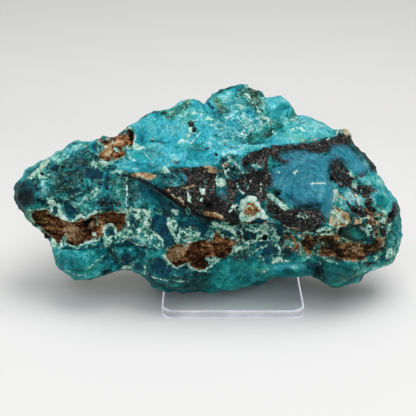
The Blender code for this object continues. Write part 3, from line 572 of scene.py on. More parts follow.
DABS: tuple[Dab, ...] = (
    Dab(-66, 5, 4.1, 3.2, -0.6), Dab(36, 102, 3.7, 2.7, 0.6, 0.1), Dab(21, 50, 4.6, 1.8, 0.7, -0.1, 12),
    Dab(-95, -30, 3.7, 2.3, -0.7), Dab(-22, -51, 4.1, 2.3, -0.6), Dab(-80, 59, 4.6, 3.2, 0.7),
    Dab(51, -16, 4.1, 2.3, -0.5, 0.3), Dab(67, 70, 3.2, 2.3, -0.6), Dab(139, -19, 4.1, 1.8, 0.6),
    Dab(7, 16, 3.2, 2.7, 0.5), Dab(139, 4, 3.2, 1.8, 0.5, 0, 20), Dab(-170, 27, 2.7, 2.3, 0.9, 0, 40),
    Dab(-150, 18, 4.6, 4.1, 0.55, -0.4), Dab(-153, -11, 4.6, 4.1, 0.9, 1.3, 25),
    Dab(132, 9, 5.9, 2.3, 1.2, -0.3, -24), Dab(44, 37, 3.2, 1.8, 1.5, 0, 10),
    Dab(-165, 20, 3.2, 3.2, 0.25, -0.3), Dab(-165, 7, 5.0, 5.5, -0.55),
    Dab(-152, 39, 7.3, 3.2, 1.5, 0, 35), Dab(-124, 53, 9.1, 3.2, 1.3, 0, 28),
    Dab(-122, -10, 6.9, 2.3, 0.6), Dab(-133, 16, 3.2, 3.2, -0.45, 0.6),
    Dab(-140, 35, 5.5, 2.3, -0.55, -0.1, 25), Dab(-121, 33, 5.5, 3.2, -0.6, -0.2),
    Dab(-110, 27, 3.7, 2.3, -0.3, -0.3), Dab(-172, 7, 2.7, 4.6, -0.5, 0.1),
    Dab(-155, 7, 3.7, 2.3, -0.2, 0.1), Dab(-108, 4, 6.4, 2.3, -0.9), Dab(-80, 16, 2.3, 3.7, 0.2, 0.3),
    Dab(-94, 31, 3.7, 1.4, -0.3, -0.2), Dab(-113, 44, 4.1, 4.1, -0.3, -0.1),
    Dab(-123, 7, 4.1, 2.3, 0.35, -0.1, -5), Dab(-103, 20, 3.2, 1.8, 0.3, -0.4),
    Dab(-99, 15, 2.7, 1.4, 0.5, 0.3), Dab(-95, 5, 5.5, 1.8, -0.3), Dab(-85, 10, 5.0, 4.1, 0.35, 0.1),
    Dab(-82, 3, 4.6, 1.8, -0.3, 0.1), Dab(-126, 32, 4.6, 2.7, -0.4, 0, 20),
    Dab(-139, 24, 3.2, 2.3, -0.3, 0.5), Dab(-159, 24, 2.7, 2.3, 0.3, -0.1),
    Dab(-95, 20, 3.2, 2.3, -0.35, -0.3), Dab(-133, 46, 4.1, 1.8, 0.3, -0.1, 25),
    Dab(-117, 57, 4.6, 1.8, 0.2, -0.2, 15), Dab(-82, 44, 2.7, 1.8, 0.45, -0.5),
    Dab(-64, 47, 5.5, 2.7, -0.4, 0.1, 10), Dab(-53, 41, 6.4, 2.3, 0.1, -0.4),
    Dab(-61, 66, 2.7, 7.3, -0.5, -0.1, -25), Dab(-39, 71, 9.1, 4.6, 0.1, -0.25),
    Dab(-48, 86, 2.7, 1.8, -0.6, -0.2), Dab(-46, 60, 4.6, 1.4, -0.5, -0.3),
    Dab(-19, 83, 4.6, 1.8, -0.15, 0.3, 10), Dab(-7, 91, 3.2, 3.7, -0.1, 0.2),
    Dab(-3, 48, 6.4, 3.2, -0.45, -0.5), Dab(-15, 53, 6.4, 2.7, -0.4, 0.35),
    Dab(-29, 49, 4.6, 2.3, 0.1, -0.2), Dab(-11, 57, 2.7, 1.4, -0.4, 0.8),
    Dab(-22, 41, 3.7, 1.8, -0.2, -0.2), Dab(-29, 46, 5.5, 1.4, 0.3, -0.4, -8),
    Dab(-16, 39, 3.7, 1.4, 0.45), Dab(6, 62, 5.5, 3.7, 0.15, -0.1), Dab(17, 72, 6.4, 4.1, 0.45, -0.1),
    Dab(46, 101, 3.7, 4.6, -0.25, 0.25, 20), Dab(53, 88, 2.7, 4.6, -0.3, 0.4, 20),
    Dab(13, 94, 3.7, 3.7, -0.1, 0.2), Dab(29, 93, 5.5, 3.7, -0.3, 0.4),
    Dab(91, 69, 11.9, 3.2, 0.15, 0.3, 12), Dab(34, 79, 5.5, 4.1, 0.35),
    Dab(-16, 88, 4.6, 2.7, 0.25, 0.1), Dab(102, 73, 6.4, 1.8, 0.2, 0.1, 20),
    Dab(84, 62, 12.8, 1.4, 0.1, 0.5, 6), Dab(34, 57, 13.7, 2.3, 0.15, -0.1),
    Dab(55, 70, 2.7, 3.7, -0.6, 0.4), Dab(38, 62, 3.7, 1.8, -0.3, 0.3), Dab(-3, 67, 5.5, 5.5, -0.1),
    Dab(-60, 64, 2.7, 4.6, -0.4, -0.1), Dab(5, 53, 6.4, 2.3, -0.15, -0.3),
    Dab(-62, 16, 5.5, 2.7, -0.1, 0.1, 25), Dab(-44, 3, 6.4, 3.7, 0, 0.2, 40),
    Dab(-46, -16, 1.4, 4.6, 0.55, -0.3, -20), Dab(-37, -26, 2.3, 2.7, 0.25, -0.3),
    Dab(-60, -29, 7.3, 1.8, 0.35, -0.1, 12), Dab(-12, -14, 5.5, 1.4, 0.3, -0.2, 5),
    Dab(-62, 5, 3.2, 3.7, 0.2, -0.2), Dab(-68, -7, 2.7, 2.3, 0.15, 0.4),
    Dab(29, -37, 4.6, 2.7, 0.5, 0.4, -20), Dab(40, -37, 2.7, 2.7, 0.2, 0.2),
    Dab(49, -40, 7.3, 2.7, -0.05, -0.4, 10), Dab(35, -44, 6.4, 1.8, 0, -0.3, -10),
    Dab(61, -38, 2.3, 2.7, 0.2, -0.4), Dab(77, -44, 5.5, 1.4, 0.1, 0.4),
    Dab(-117, -45, 7.3, 2.7, 0.3, -0.15), Dab(-133, -49, 2.7, 2.7, -0.35),
    Dab(-117, -58, 7.3, 2.3, -0.15, 0.45), Dab(-90, -46, 1.4, 4.1, 0.4, -0.3, -40),
    Dab(-71, -41, 7.3, 1.4, 0.15, -0.3, 5), Dab(-75, -45, 5.5, 1.4, -0.25, -0.2),
    Dab(-86, -36, 4.1, 2.7, 0.5), Dab(-91, -59, 3.7, 1.8, -0.35, 0.4, -10),
    Dab(-39, -58, 5.5, 2.7, 0.35, -0.5), Dab(-26, -62, 4.6, 2.3, 0.2, -0.2),
    Dab(-21, -69, 11.9, 2.3, 0, 0.3), Dab(0, -62, 4.6, 3.7, -0.2, 0.3),
    Dab(-48, -69, 4.6, 1.8, 0.15, 0.2, 10), Dab(77, -55, 10.1, 1.8, 0.9, -0.5, 8),
    Dab(49, -55, 7.3, 2.3, 0.3, 0, 4), Dab(61, -58, 6.4, 1.8, 0.5, -0.4, 15),
    Dab(89, -46, 10.1, 1.4, 0.3, 0, 10), Dab(55, -62, 4.6, 2.7, -0.15, 0.25),
    Dab(49, -58, 2.3, 2.3, 0.1, 0.6), Dab(102, -48, 7.3, 1.4, 0.15, 0.1, 8),
    Dab(75, -61, 9.1, 1.1, -0.45, 0.1, 2), Dab(99, -61, 2.7, 3.2, -0.25, 0.1),
    Dab(124, -66, 2.7, 1.4, 0.4, 0.4), Dab(170, -22, 2.3, 3.7, 0.3, -0.1),
    Dab(161, -46, 2.7, 1.8, -0.1, 0.6), Dab(151, 15, 3.7, 2.7, 0.6, -0.1),
    Dab(134, 11, 4.6, 2.3, 0.3, 0, 20), Dab(137, -25, 3.2, 1.4, 0.45, -0.1, -15),
    Dab(126, -24, 2.3, 1.8, -0.4, 0.3), Dab(132, -7, 3.2, 1.4, 0.45, -0.3, 25),
    Dab(154, -34, 4.6, 3.7, -0.2, 1.3), Dab(154, -6, 4.1, 2.7, -0.7, 0.8),
    Dab(150, -15, 3.2, 2.3, -0.2, 0.5), Dab(89, -35, 4.1, 2.7, 0.1, 0.7),
    Dab(102, -38, 4.6, 2.3, -0.2, 0.5), Dab(125, -44, 4.6, 1.8, -0.1, 0.6),
    Dab(82, 48, 9.1, 3.7, -0.35, 0.1), Dab(89, 26, 10.1, 6.4, 0.2, 0.2),
    Dab(104, 12, 3.7, 7.3, 0.3, 0.1), Dab(101, 2, 4.6, 2.3, -0.5, -0.1),
    Dab(77, 9, 5.5, 2.7, -0.6, 0, -20), Dab(91, 2, 6.4, 1.8, -1.1), Dab(112, 39, 0.9, 6.4, -0.45),
    Dab(137, 38, 3.7, 2.7, 0.3), Dab(144, 40, 1.4, 3.7, 0.3, 0.4, -35), Dab(66, 22, 4.6, 3.7, 0.25),
    Dab(112, 3, 0.9, 5.5, 0.4, 0.3), Dab(40, 2, 6.9, 5.0, 1.4), Dab(40, -1, 3.2, 2.7, -0.7),
    # Dark dabs (22, -8), (-11, -6), (9, -13), (35, -16): painted shadow in the crevice under the ledge.
    Dab(22, -8, 2.7, 2.7, -1.3), Dab(2, 3, 7.3, 1.8, -0.35, 0, -12),
    Dab(-11, -6, 6.4, 1.8, -1.3, 0, -28), Dab(9, -13, 7.3, 1.8, -1.3, 0, -12),
    Dab(35, -16, 6.4, 1.4, -1.1, 0, -6), Dab(-86, -12, 6.4, 4.1, 0.4, -0.3),
    # The dark dab at (-103, -15) is painted shade in a hole.
    Dab(-95, -16, 1.8, 3.7, 0.3, -0.1), Dab(-103, -15, 2.3, 4.1, -0.9, 0, 30),
    Dab(122, -10, 4.6, 3.7, 0.7), Dab(-157, -16, 3.7, 1.4, -0.9, 0, 35),
    Dab(-139, -18, 3.7, 2.7, 0.5, 0.5), Dab(-124, -22, 6.4, 3.2, 0.5), Dab(-95, 53, 2.7, 3.7, 0.8),
    Dab(-88, 51, 2.7, 2.7, 0.7), Dab(-71, 66, 1.8, 3.7, -0.7), Dab(-15, -37, 5.5, 1.8, 0.7, 0, -20),
    Dab(-29, -44, 4.1, 2.7, 0.8, 0, -30), Dab(-9, -49, 3.7, 2.7, -0.7),
    Dab(-2, -35, 3.7, 1.4, 0.5, 0, -20), Dab(135, -38, 3.7, 2.3, 0.7, 0.3, 20),
    Dab(125, -36, 13.7, 4.6, -0.2, 1.3), Dab(102, -30, 6.4, 2.7, -0.2, 0.8),
    Dab(108, -29, 4.6, 1.4, -0.4, 0.3), Dab(-24, 12, 4.6, 2.3, 0.35, 0, 30), Dab(-7, 12, 4.6, 2.7, 0.2),
    Dab(-15, 26, 6.4, 3.2, 0.15), Dab(44, 44, 3.7, 1.8, 0.5, 0.4), Dab(51, 40, 1.8, 2.7, 0.4, 0.4),
    Dab(75, -9, 9.1, 2.7, -0.15), Dab(93, -16, 4.6, 2.7, -0.3), Dab(119, -5, 3.7, 4.1, 0.2),
    Dab(134, 7, 5.5, 2.7, 0.4, -0.2, 20), Dab(35, 27, 4.6, 1.8, 0.2, 0.4, -10),
    Dab(99, 58, 3.7, 1.4, 0.3, 0.4),
)


# --- noise ---------------------------------------------------------------------------------------
def lattice_value(cell: Array, seed: int) -> Array:
    """A fixed pseudo-random number from 0 to 1 for each whole-number cell.

    Args:
        cell: Cells, one row of three whole numbers each.
        seed: Which set of numbers to draw from.

    Returns:
        One number for each cell.
    """
    x, y, z = (cell[..., i].astype(np.int64) for i in range(3))
    mixed = (x * 73856093) ^ (y * 19349663) ^ (z * 83492791) ^ (seed * 40503)
    mixed = (mixed & 0xFFFFFFFF) * 1274126177 & 0xFFFFFFFF
    mixed = (mixed ^ (mixed >> 15)) * 2246822519 & 0xFFFFFFFF
    return (mixed ^ (mixed >> 13)) / 0xFFFFFFFF


def swell(points: Array, wavelength: float, seed: int) -> Array:
    """Smooth noise from -1 to 1: random values at lattice corners, blended by 6t^5-15t^4+10t^3.

    Args:
        points: Points in space, one row each.
        wavelength: Lattice spacing, in the points' unit.
        seed: Which noise.

    Returns:
        One value for each point.
    """
    scaled = points / wavelength
    cell = np.floor(scaled)
    part = scaled - cell
    blend = part**3 * (part * (part * 6 - 15) + 10)
    total = np.zeros(len(points))
    for corner in np.ndindex(2, 2, 2):
        weight = np.prod(np.where(np.array(corner) == 1, blend, 1 - blend), axis=-1)
        total += weight * lattice_value(cell + corner, seed)
    return total * 2 - 1


def bowls(points: Array, size: float, seed: int, tilt: float = 0.0) -> Array:
    """Bowls with sharp rims: the smallest d * (d + lean) over scattered centres a distance d away.

    With no tilt this is the squared distance to the nearest centre, about 0 in a bowl and 1 on the
    rims. With a tilt each bowl leans its own way, so its rims step up and down.

    Args:
        points: Points in space, one row each.
        size: Spacing of the bowls, in the points' unit.
        seed: Which scatter.
        tilt: How far each bowl may lean, as a slope.

    Returns:
        One height for each point.
    """
    scaled = points / size
    cell = np.floor(scaled)
    lowest = np.full(len(points), 9.0)
    for step in np.ndindex(3, 3, 3):
        neighbour = cell + step - 1
        draws = [lattice_value(neighbour, seed + 7 * k) for k in range(6 if tilt else 3)]
        away = scaled - neighbour - np.stack(draws[:3], -1)
        lean = (np.stack(draws[3:], -1) * 2 - 1) * tilt if tilt else 0.0
        lowest = np.minimum(lowest, (away * (away + lean)).sum(-1))
    return lowest


# --- shapes in the face plane --------------------------------------------------------------------
def smooth_step(low: float, high: float, value: Array) -> Array:
    """0 below low, 1 above high and 3t^2-2t^3 between them."""
    part = np.clip((value - low) / (high - low), 0, 1)
    return part * part * (3 - 2 * part)


def soft_minimum(a: Array, b: Array, width: float) -> Array:
    """The smaller of two heights, with the edge between them rounded over a width."""
    overlap = np.maximum(width - np.abs(a - b), 0) / width
    return np.minimum(a, b) - overlap * overlap * width / 4


def line_distance(a: Array, b: Array, line: Corners) -> tuple[Array, Array, Array]:
    """Distance from points to a bent line, as the smallest over its straight runs.

    Args:
        a: Places across.
        b: Places up.
        line: The line's corners.

    Returns:
        The distance, a number that is negative on the line's right, and the share along it.
    """
    best, side, place = np.full(len(a), 1e9), np.zeros(len(a)), np.zeros(len(a))
    for k in range(len(line) - 1):
        (x0, y0), (x1, y1) = line[k], line[k + 1]
        dx, dy = x1 - x0, y1 - y0
        share = ((a - x0) * dx + (b - y0) * dy) / (dx * dx + dy * dy)
        held = np.clip(share, 0, 1)
        gap = np.hypot(a - x0 - held * dx, b - y0 - held * dy)
        closer = gap < best
        best = np.where(closer, gap, best)
        side = np.where(closer, (b - y0) * dx - (a - x0) * dy, side)
        place = np.where(closer, (k + share) / (len(line) - 1), place)
    return best, side, place


def inside_distance(a: Array, b: Array, corners: Corners) -> Array:
    """Distance to a closed outline, positive inside it by the even-odd rule.

    Args:
        a: Places across.
        b: Places up.
        corners: The outline's corners.

    Returns:
        The signed distances.
    """
    loop = (*corners, corners[0])
    gap = line_distance(a, b, loop)[0]
    crossings = np.zeros(len(a), bool)
    for (x0, y0), (x1, y1) in zip(loop[:-1], loop[1:]):
        if y0 != y1:
            meets = (b < y0) != (b < y1)
            crossings ^= meets & (a < x0 + (b - y0) * (x1 - x0) / (y1 - y0))
    return np.where(crossings, gap, -gap)


def near(a: Array, b: Array, corners: Array, margin: float) -> Array:
    """Which points lie within a margin of a set of corners' box."""
    low, high = corners.min(axis=0) - margin, corners.max(axis=0) + margin
    return (a > low[0]) & (a < high[0]) & (b > low[1]) & (b < high[1])


def shown(name: str, data: bpy.types.ID) -> bpy.types.Object:
    """A new object in the scene.

    Args:
        name: Its name.
        data: Its mesh, light or camera.

    Returns:
        The object.
    """
    made = bpy.data.objects.new(name, data)
    bpy.context.scene.collection.objects.link(made)
    return made


def on_face(drawn: Drawn) -> Array:
    """A drawn line's corners, one row each, in millimetres on the face plane."""
    return np.array(drawn).reshape(-1, 2) * DRAWN_STEP


@dataclass(frozen=True)
class StoneForm:
    """The stone's large form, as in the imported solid: two sheets that meet along the outline.

    Each sheet is a rounded cap, cut by fracture planes, with ledges, hollows and lumps added, and
    pushed in and out by smooth swells and sharp-rimmed chips. Swells and chips are given by their
    length, height and seed, and the rim's waves by their count, height and phase.
    """

    face_middle: tuple[float, float, float] = (-11.1, 7.2, 40.1)
    taper_distance: float = 447.0
    face_depth: float = 35.0
    back_depth: float = 33.0
    roundness: float = 2.7
    centre: Point = (2.0, 5.0)
    mean_radius: float = 62.0
    plane_blend: float = 1.2
    rim_roughness: float = 0.25
    nick_spread_deg: float = 7.0
    depth_share: float = 0.55
    ledge_edge: float = 1.4
    ledge_ends: Point = (-0.1, 0.12)
    feature_fade: Point = (0.05, 0.45)
    swells: tuple = ((34.0, 1.5, 11), (15.0, 0.9, 12), (7.0, 0.5, 13))
    chip_layers: tuple = ((16.0, 2.4, 21), (7.5, 1.0, 22))
    chip_level: float = 0.35
    rim_waves: tuple = ((2, 3.2, 0.4), (3, 2.4, 2.1), (5, 1.4, 4.0))
    foot_top: float = 3.5
    contact_gap: float = 0.3
    bend_room: float = 2.7
    bend_slope: float = 0.7

    def outline_radius(self, angle: Array) -> Array:
        """Distance from the centre to the outline: where a ray in each direction cuts its side.

        Args:
            angle: Directions from the centre, in radians.

        Returns:
            The distances, in millimetres.
        """
        corners = np.array(OUTLINE) - self.centre
        corners = corners[np.argsort(np.arctan2(corners[:, 1], corners[:, 0]))]
        after = np.searchsorted(np.arctan2(corners[:, 1], corners[:, 0]), angle) % len(corners)
        start, side = corners[after - 1], corners[after] - corners[after - 1]
        across = start[:, 0] * side[:, 1] - start[:, 1] * side[:, 0]
        return across / (np.cos(angle) * side[:, 1] - np.sin(angle) * side[:, 0])

    def outline_reach(self, angle: Array, radius: Array) -> Array:
        """The outline at the rim, evened out further in so its nicks don't run up the face.

        Args:
            angle: Directions from the centre, in radians.
            radius: Shares of the way out to the rim.

        Returns:
            The distances from the centre, in millimetres.
        """
        turns = np.radians(np.linspace(-self.nick_spread_deg, self.nick_spread_deg, 9))
        wrapped = (angle[:, None] + turns + math.pi) % (2 * math.pi) - math.pi
        even = self.outline_radius(wrapped.ravel()).reshape(wrapped.shape).mean(axis=1)
        return even + (self.outline_radius(angle) - even) * radius**8

    def planes(self, a: Array, b: Array, planes: tuple[Plane, ...]) -> Array:
        """The soft minimum of flat fracture planes.

        Args:
            a: Places across.
            b: Places up.
            planes: The planes, each given by a point and two slopes.

        Returns:
            The height of the lowest plane at each place.
        """
        height = np.full(len(a), 99.0)
        for (a0, b0, relief), (per_across, per_up) in planes:
            plane = relief + per_across * (a - a0) + per_up * (b - b0)
            height = soft_minimum(height, plane, self.plane_blend)
        return height

    def features(self, a: Array, b: Array) -> Array:
        """Relief of the display face's ledges, hollows, lumps and scoops.

        A ledge drops on the right of its line and heals as exp(-(d/reach)^2). A hollow has a wall
        of its own width, and a lump falls off smoothly to its oval's edge.

        Args:
            a: Places across.
            b: Places up.

        Returns:
            The relief to add at each place.
        """
        relief = np.zeros(len(a))
        for line, drop, reach in LEDGES:
            gap, side, place = line_distance(a, b, line)
            below = smooth_step(0.0, self.ledge_edge, np.where(side < 0, gap, 0.0))
            ends = smooth_step(*self.ledge_ends, place) * smooth_step(*self.ledge_ends, 1 - place)
            relief -= drop * below * ends * np.exp(-((gap / reach) ** 2))
        for corners, depth, wall in HOLLOWS:
            relief -= depth * smooth_step(-wall / 2, wall / 2, inside_distance(a, b, corners))
        for (a0, b0), (half_a, half_b), height in LUMPS:
            away = np.hypot((a - a0) / half_a, (b - b0) / half_b)
            relief += height * (1 - smooth_step(0.0, 1.0, away))
        return relief

    def profile(self, ring: Array) -> tuple[Array, Array]:
        """A superellipse cap's profile, at even steps along its curve.

        Args:
            ring: Shares of the way along the curve, from the middle to the rim.

        Returns:
            The shares of the cap's radius and of its depth.
        """
        sweep = np.linspace(0, math.pi / 2, 400)
        radius = np.sin(sweep) ** (2 / self.roundness)
        depth = np.cos(sweep) ** (2 / self.roundness)
        steps = np.hypot(np.diff(radius) * self.mean_radius,
                         np.diff(depth) * self.face_depth * self.depth_share)
        travelled = np.concatenate([[0], np.cumsum(steps)]) / steps.sum()
        return np.interp(ring, travelled, radius), np.interp(ring, travelled, depth)

    def sheet(self, ring: Array, angle: Array, is_face: bool) -> tuple[Array, Array]:
        """One sheet's points, as functions of ring share and direction.

        Args:
            ring: 0 at the sheet's middle and 1 on the outline.
            angle: Direction from the middle, in radians.
            is_face: Whether this is the display face.

        Returns:
            Points (across, up, relief), and the way each may be pushed by roughness.
        """
        radius, depth = self.profile(ring)
        reach = radius * self.outline_reach(angle, radius)
        a = self.centre[0] + reach * np.cos(angle)
        b = self.centre[1] + reach * np.sin(angle)
        cap = (self.face_depth if is_face else self.back_depth) * depth
        planes = self.planes(a, b, FACE_PLANES if is_face else BACK_PLANES)
        height = soft_minimum(planes, cap, self.plane_blend)
        if is_face:
            height = height + self.features(a, b) * smooth_step(*self.feature_fade, depth)
        height = np.where(ring >= 1, 0.0, height if is_face else -height)
        wave = sum(size * np.sin(count * angle + phase) for count, size, phase in self.rim_waves)
        points = np.stack([a, b, height + wave * radius**3], -1)
        outward = np.stack([np.cos(angle) * radius, np.sin(angle) * radius,
                            depth if is_face else -depth], -1)
        outward /= np.linalg.norm(outward, axis=-1, keepdims=True)
        freedom = 1 - (1 - self.rim_roughness) * radius**6
        return points, outward * freedom[:, None]

    def roughened(self, points: Array, outward: Array) -> Array:
        """The points pushed along their outward way by the sum of all swells and chips.

        Args:
            points: Points on the plain sheets.
            outward: The way each may be pushed.

        Returns:
            The moved points.
        """
        shift = sum(size * swell(points, length, seed) for length, size, seed in self.swells)
        shift = shift + sum(size * (bowls(points, length, seed) - self.chip_level)
                            for length, size, seed in self.chip_layers)
        return points + outward * shift[:, None]

    def to_table(self, points: Array) -> Array:
        """Face-plane points moved to where the stone leans on the easel.

        Args:
            points: Points (across, up, relief), in millimetres.

        Returns:
            Points (x, y, z), in millimetres.
        """
        taper = 1 - points[:, 2] / self.taper_distance
        across, up, relief = points[:, 0] * taper, points[:, 1] * taper, points[:, 2]
        lean = math.radians(LEAN_DEG)
        x = self.face_middle[0] + across
        y = self.face_middle[1] + up * math.sin(lean) - relief * math.cos(lean)
        z = self.face_middle[2] + up * math.cos(lean) + relief * math.sin(lean)
        return np.stack([x, y, z], -1)

    def rested(self, points: Array) -> Array:
        """High spots worn flat where the stone sits on the foot and leans on the easel's back.

        Args:
            points: Points (x, y, z), in millimetres.

        Returns:
            The same points, none of them inside the easel.
        """
        half_foot, lean = -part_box("acrylic_easel")[0][1] / MM, math.radians(LEAN_DEG)
        x, y, z = points.T
        z = np.maximum(z, self.foot_top + self.contact_gap)
        back_line = half_foot + (z - self.foot_top) * math.tan(lean)
        y = np.minimum(y, back_line - self.contact_gap / math.cos(lean))
        corner = (half_foot - y) + (z - self.foot_top) * self.bend_slope
        return np.stack([x, y - np.maximum(self.bend_room - corner, 0), z], -1)


@dataclass(frozen=True)
class StoneSurface:
    """The stone's fine, closed surface, with its pigments as attributes on its points.

    Breakage layers are given by their height, size, seed and tilt.
    """

    form: StoneForm = StoneForm()
    columns: int = 400
    rows: int = 196
    zone_reach: float = 4.0
    box_inset: float = 0.05
    back_fade: Point = (0.02, 0.22)
    back_bend: float = 4.5
    outline_bends: tuple = ((0.45, 4.0), (0.3, 1.6))
    dab_falloff: float = 1.4
    breakage: tuple = ((2.0, 7.0, 61, 0.8), (1.3, 3.4, 51, 0.7), (0.6, 1.7, 53, 0.6))
    break_level: float = 0.3
    terrace_height: float = 0.4
    terrace_drop: float = 0.7
    crust_height: float = 0.45
    hollow_depth: float = 1.9
    cell_depth: float = 0.5
    ripple_centre: Point = (16.0, -22.0)
    ripple_height: float = 0.05
    painted_relief: Point = (-1.2, 1.0)

    def grid(self) -> tuple[Array, Array]:
        """Ring share and direction of each grid point: a square wrapped onto a disc ring by ring.

        Ring is the larger of |s| and |t|. The direction turns evenly along each side of the square,
        and is then stretched to the outline's width and height.

        Returns:
            Two arrays of (rows + 1) x (columns + 1).
        """
        s, t = np.meshgrid(np.linspace(-1, 1, self.columns + 1), np.linspace(-1, 1, self.rows + 1))
        wide = np.abs(s) >= np.abs(t)
        ring = np.where(wide, np.abs(s), np.abs(t))
        safe_s, safe_t = np.where(s == 0, 1e-9, s), np.where(t == 0, 1e-9, t)
        turn = np.where(wide, math.pi / 4 * t / safe_s, math.pi / 2 - math.pi / 4 * s / safe_t)
        turn = np.where(np.where(wide, s, t) < 0, turn + math.pi, turn)
        half_width, half_height = np.ptp(np.array(OUTLINE), axis=0) / 2
        return ring, np.arctan2(np.sin(turn) * half_height, np.cos(turn) * half_width)

    def sheet(self, ring: Array, angle: Array, is_face: bool) -> tuple[Array, Array]:
        """One sheet's roughened points and its outward normals.

        The normal is the cross product of the grid's two tangents, turned towards the plain
        outward way at the rim, where the two sheets share their points.

        Args:
            ring: The grid's ring shares.
            angle: The grid's directions.
            is_face: Whether this is the display face.

        Returns:
            The points and the normals, one row each.
        """
        points, outward = self.form.sheet(ring.ravel(), angle.ravel(), is_face)
        points = self.form.roughened(points, outward)
        across = np.gradient(points.reshape(*ring.shape, 3), axis=1)
        up = np.gradient(points.reshape(*ring.shape, 3), axis=0)
        normal = np.cross(across, up).reshape(-1, 3) * (1 if is_face else -1)
        normal /= np.linalg.norm(normal, axis=-1, keepdims=True) + 1e-12
        rim = (ring.ravel() ** 24)[:, None]
        normal = normal * (1 - rim) + outward * rim
        return points, normal / np.linalg.norm(normal, axis=-1, keepdims=True)

    def polygons(self) -> list[list[int]]:
        """The faces of both sheets: quads on the face, and on the back cells twice as large.

        The back takes every second grid line, and its border cells take in the face's extra border
        points, so that the two sheets close along the outline with no gap.
        """
        index = np.arange((self.rows + 1) * (self.columns + 1)).reshape(self.rows + 1, -1)
        corners = (index[:-1, :-1], index[:-1, 1:], index[1:, 1:], index[1:, :-1])
        faces = np.stack([c.ravel() for c in corners], -1).tolist()
        back = index.copy()
        inner = (self.rows // 2 - 1, self.columns // 2 - 1)
        back[2:-2:2, 2:-2:2] = index.size + np.arange(inner[0] * inner[1]).reshape(inner)
        cells = np.stack([back[:-2:2, :-2:2], back[:-2:2, 1:-1:2], back[:-2:2, 2::2],
                          back[1:-1:2, 2::2], back[2::2, 2::2], back[2::2, 1:-1:2],
                          back[2::2, :-2:2], back[1:-1:2, :-2:2]], -1)
        used = np.zeros(cells.shape, bool)
        used[..., ::2] = True
        used[0, :, 1] = used[:, -1, 3] = used[-1, :, 5] = used[:, 0, 7] = True
        for count in (4, 5, 6):
            chosen = used.sum(-1) == count
            faces += cells[chosen][used[chosen]].reshape(-1, count)[:, ::-1].tolist()
        return faces

    def zone(self, a: Array, b: Array, pigment: Pigment) -> Array:
        """Signed distance to the nearest edge of a pigment, positive inside it.

        Args:
            a: Places across.
            b: Places up.
            pigment: The pigment.

        Returns:
            The distances, held to the zone's reach.
        """
        zone = np.full(len(a), -self.zone_reach)
        for corners in PATCHES[pigment]:
            drawn = on_face(corners)
            chosen = near(a, b, drawn, self.zone_reach)
            zone[chosen] = np.maximum(zone[chosen], inside_distance(a[chosen], b[chosen], drawn))
        for width, lines in STREAKS.get(pigment, {}).items():
            for line in lines:
                drawn = on_face(line)
                chosen = near(a, b, drawn, self.zone_reach)
                gap = line_distance(a[chosen], b[chosen], drawn)[0]
                zone[chosen] = np.maximum(zone[chosen], width / 2 - gap)
        return np.clip(zone, -self.zone_reach, self.zone_reach)

    def back_zones(self, points: Array) -> dict[Pigment, Array]:
        """Signed distances of the pigments on the back: blotches where slow noise is high.

        The places are turned and bent first, so no blotch or line follows the noise's lattice.

        Args:
            points: Points on the plain sheets.

        Returns:
            The distances of each pigment.
        """
        turn = np.array([[0.79, 0.41, -0.46], [-0.22, 0.88, 0.42], [0.57, -0.23, 0.79]])
        bend = np.stack([swell(points, 10.0, seed) for seed in (71, 72, 73)], -1)
        points = points @ turn + self.back_bend * bend
        crust_line = 0.8 - 11.0 * np.abs(swell(points, 15.0, 45)) + 2.4 * swell(points, 8.0, 49)
        zones = {
            Pigment.BROWN: 9 * (swell(points, 26, 41) + 0.45 * swell(points, 9, 42) - 0.28),
            Pigment.BLACK: 9 * (swell(points, 21, 43) + 0.45 * swell(points, 8, 44) - 0.45),
            Pigment.TAN: 8 * (swell(points, 15, 46) + 0.5 * swell(points, 5, 64) - 0.62),
            Pigment.CRUST: crust_line,
        }
        outside = np.full(len(points), -self.zone_reach)
        return {pigment: np.clip(zones.get(pigment, outside), -self.zone_reach, self.zone_reach)
                for pigment in Pigment}

    def bent(self, points: Array, axis: int) -> Array:
        """The points' places along one axis, bent by noise so that no drawn edge runs smooth."""
        first_seed = 31 + len(self.outline_bends) * axis
        return points[:, axis] + sum(size * swell(points, length, first_seed + k)
                                     for k, (size, length) in enumerate(self.outline_bends))

    def looks(self, a: Array, b: Array) -> dict[str, Array]:
        """The regions' looks, each laid over the last with a feathered edge.

        Args:
            a: Places across.
            b: Places up.

        Returns:
            The tone, hue, speckle and roughness at each place.
        """
        look = {"tone": np.full(len(a), -0.2), "hue": np.full(len(a), 0.1),
                "speckle": np.full(len(a), 0.5), "rough": np.full(len(a), 0.9)}
        for region in REGIONS:
            drawn = on_face(region.corners)
            chosen = near(a, b, drawn, region.feather)
            inside = inside_distance(a[chosen], b[chosen], drawn)
            share = smooth_step(-region.feather / 2, region.feather / 2, inside)
            for name, values in look.items():
                values[chosen] += (getattr(region, name) - values[chosen]) * share
        return look

    def dabs(self, a: Array, b: Array) -> tuple[Array, Array]:
        """The dabs' sums: each weighs exp(-falloff d^2), with d the distance in its oval's measure.

        Args:
            a: Places across.
            b: Places up.

        Returns:
            The tone and the hue to add at each place.
        """
        tone, hue = np.zeros(len(a)), np.zeros(len(a))
        for dab in DABS:
            da, db = a - dab.across * DRAWN_STEP, b - dab.up * DRAWN_STEP
            cos, sin = math.cos(math.radians(dab.tilt_deg)), math.sin(math.radians(dab.tilt_deg))
            along = (da * cos + db * sin) / dab.half_width
            aside = (db * cos - da * sin) / dab.half_height
            weight = np.exp(-self.dab_falloff * (along**2 + aside**2))
            tone += dab.tone * weight
            hue += dab.hue * weight
        return tone, hue

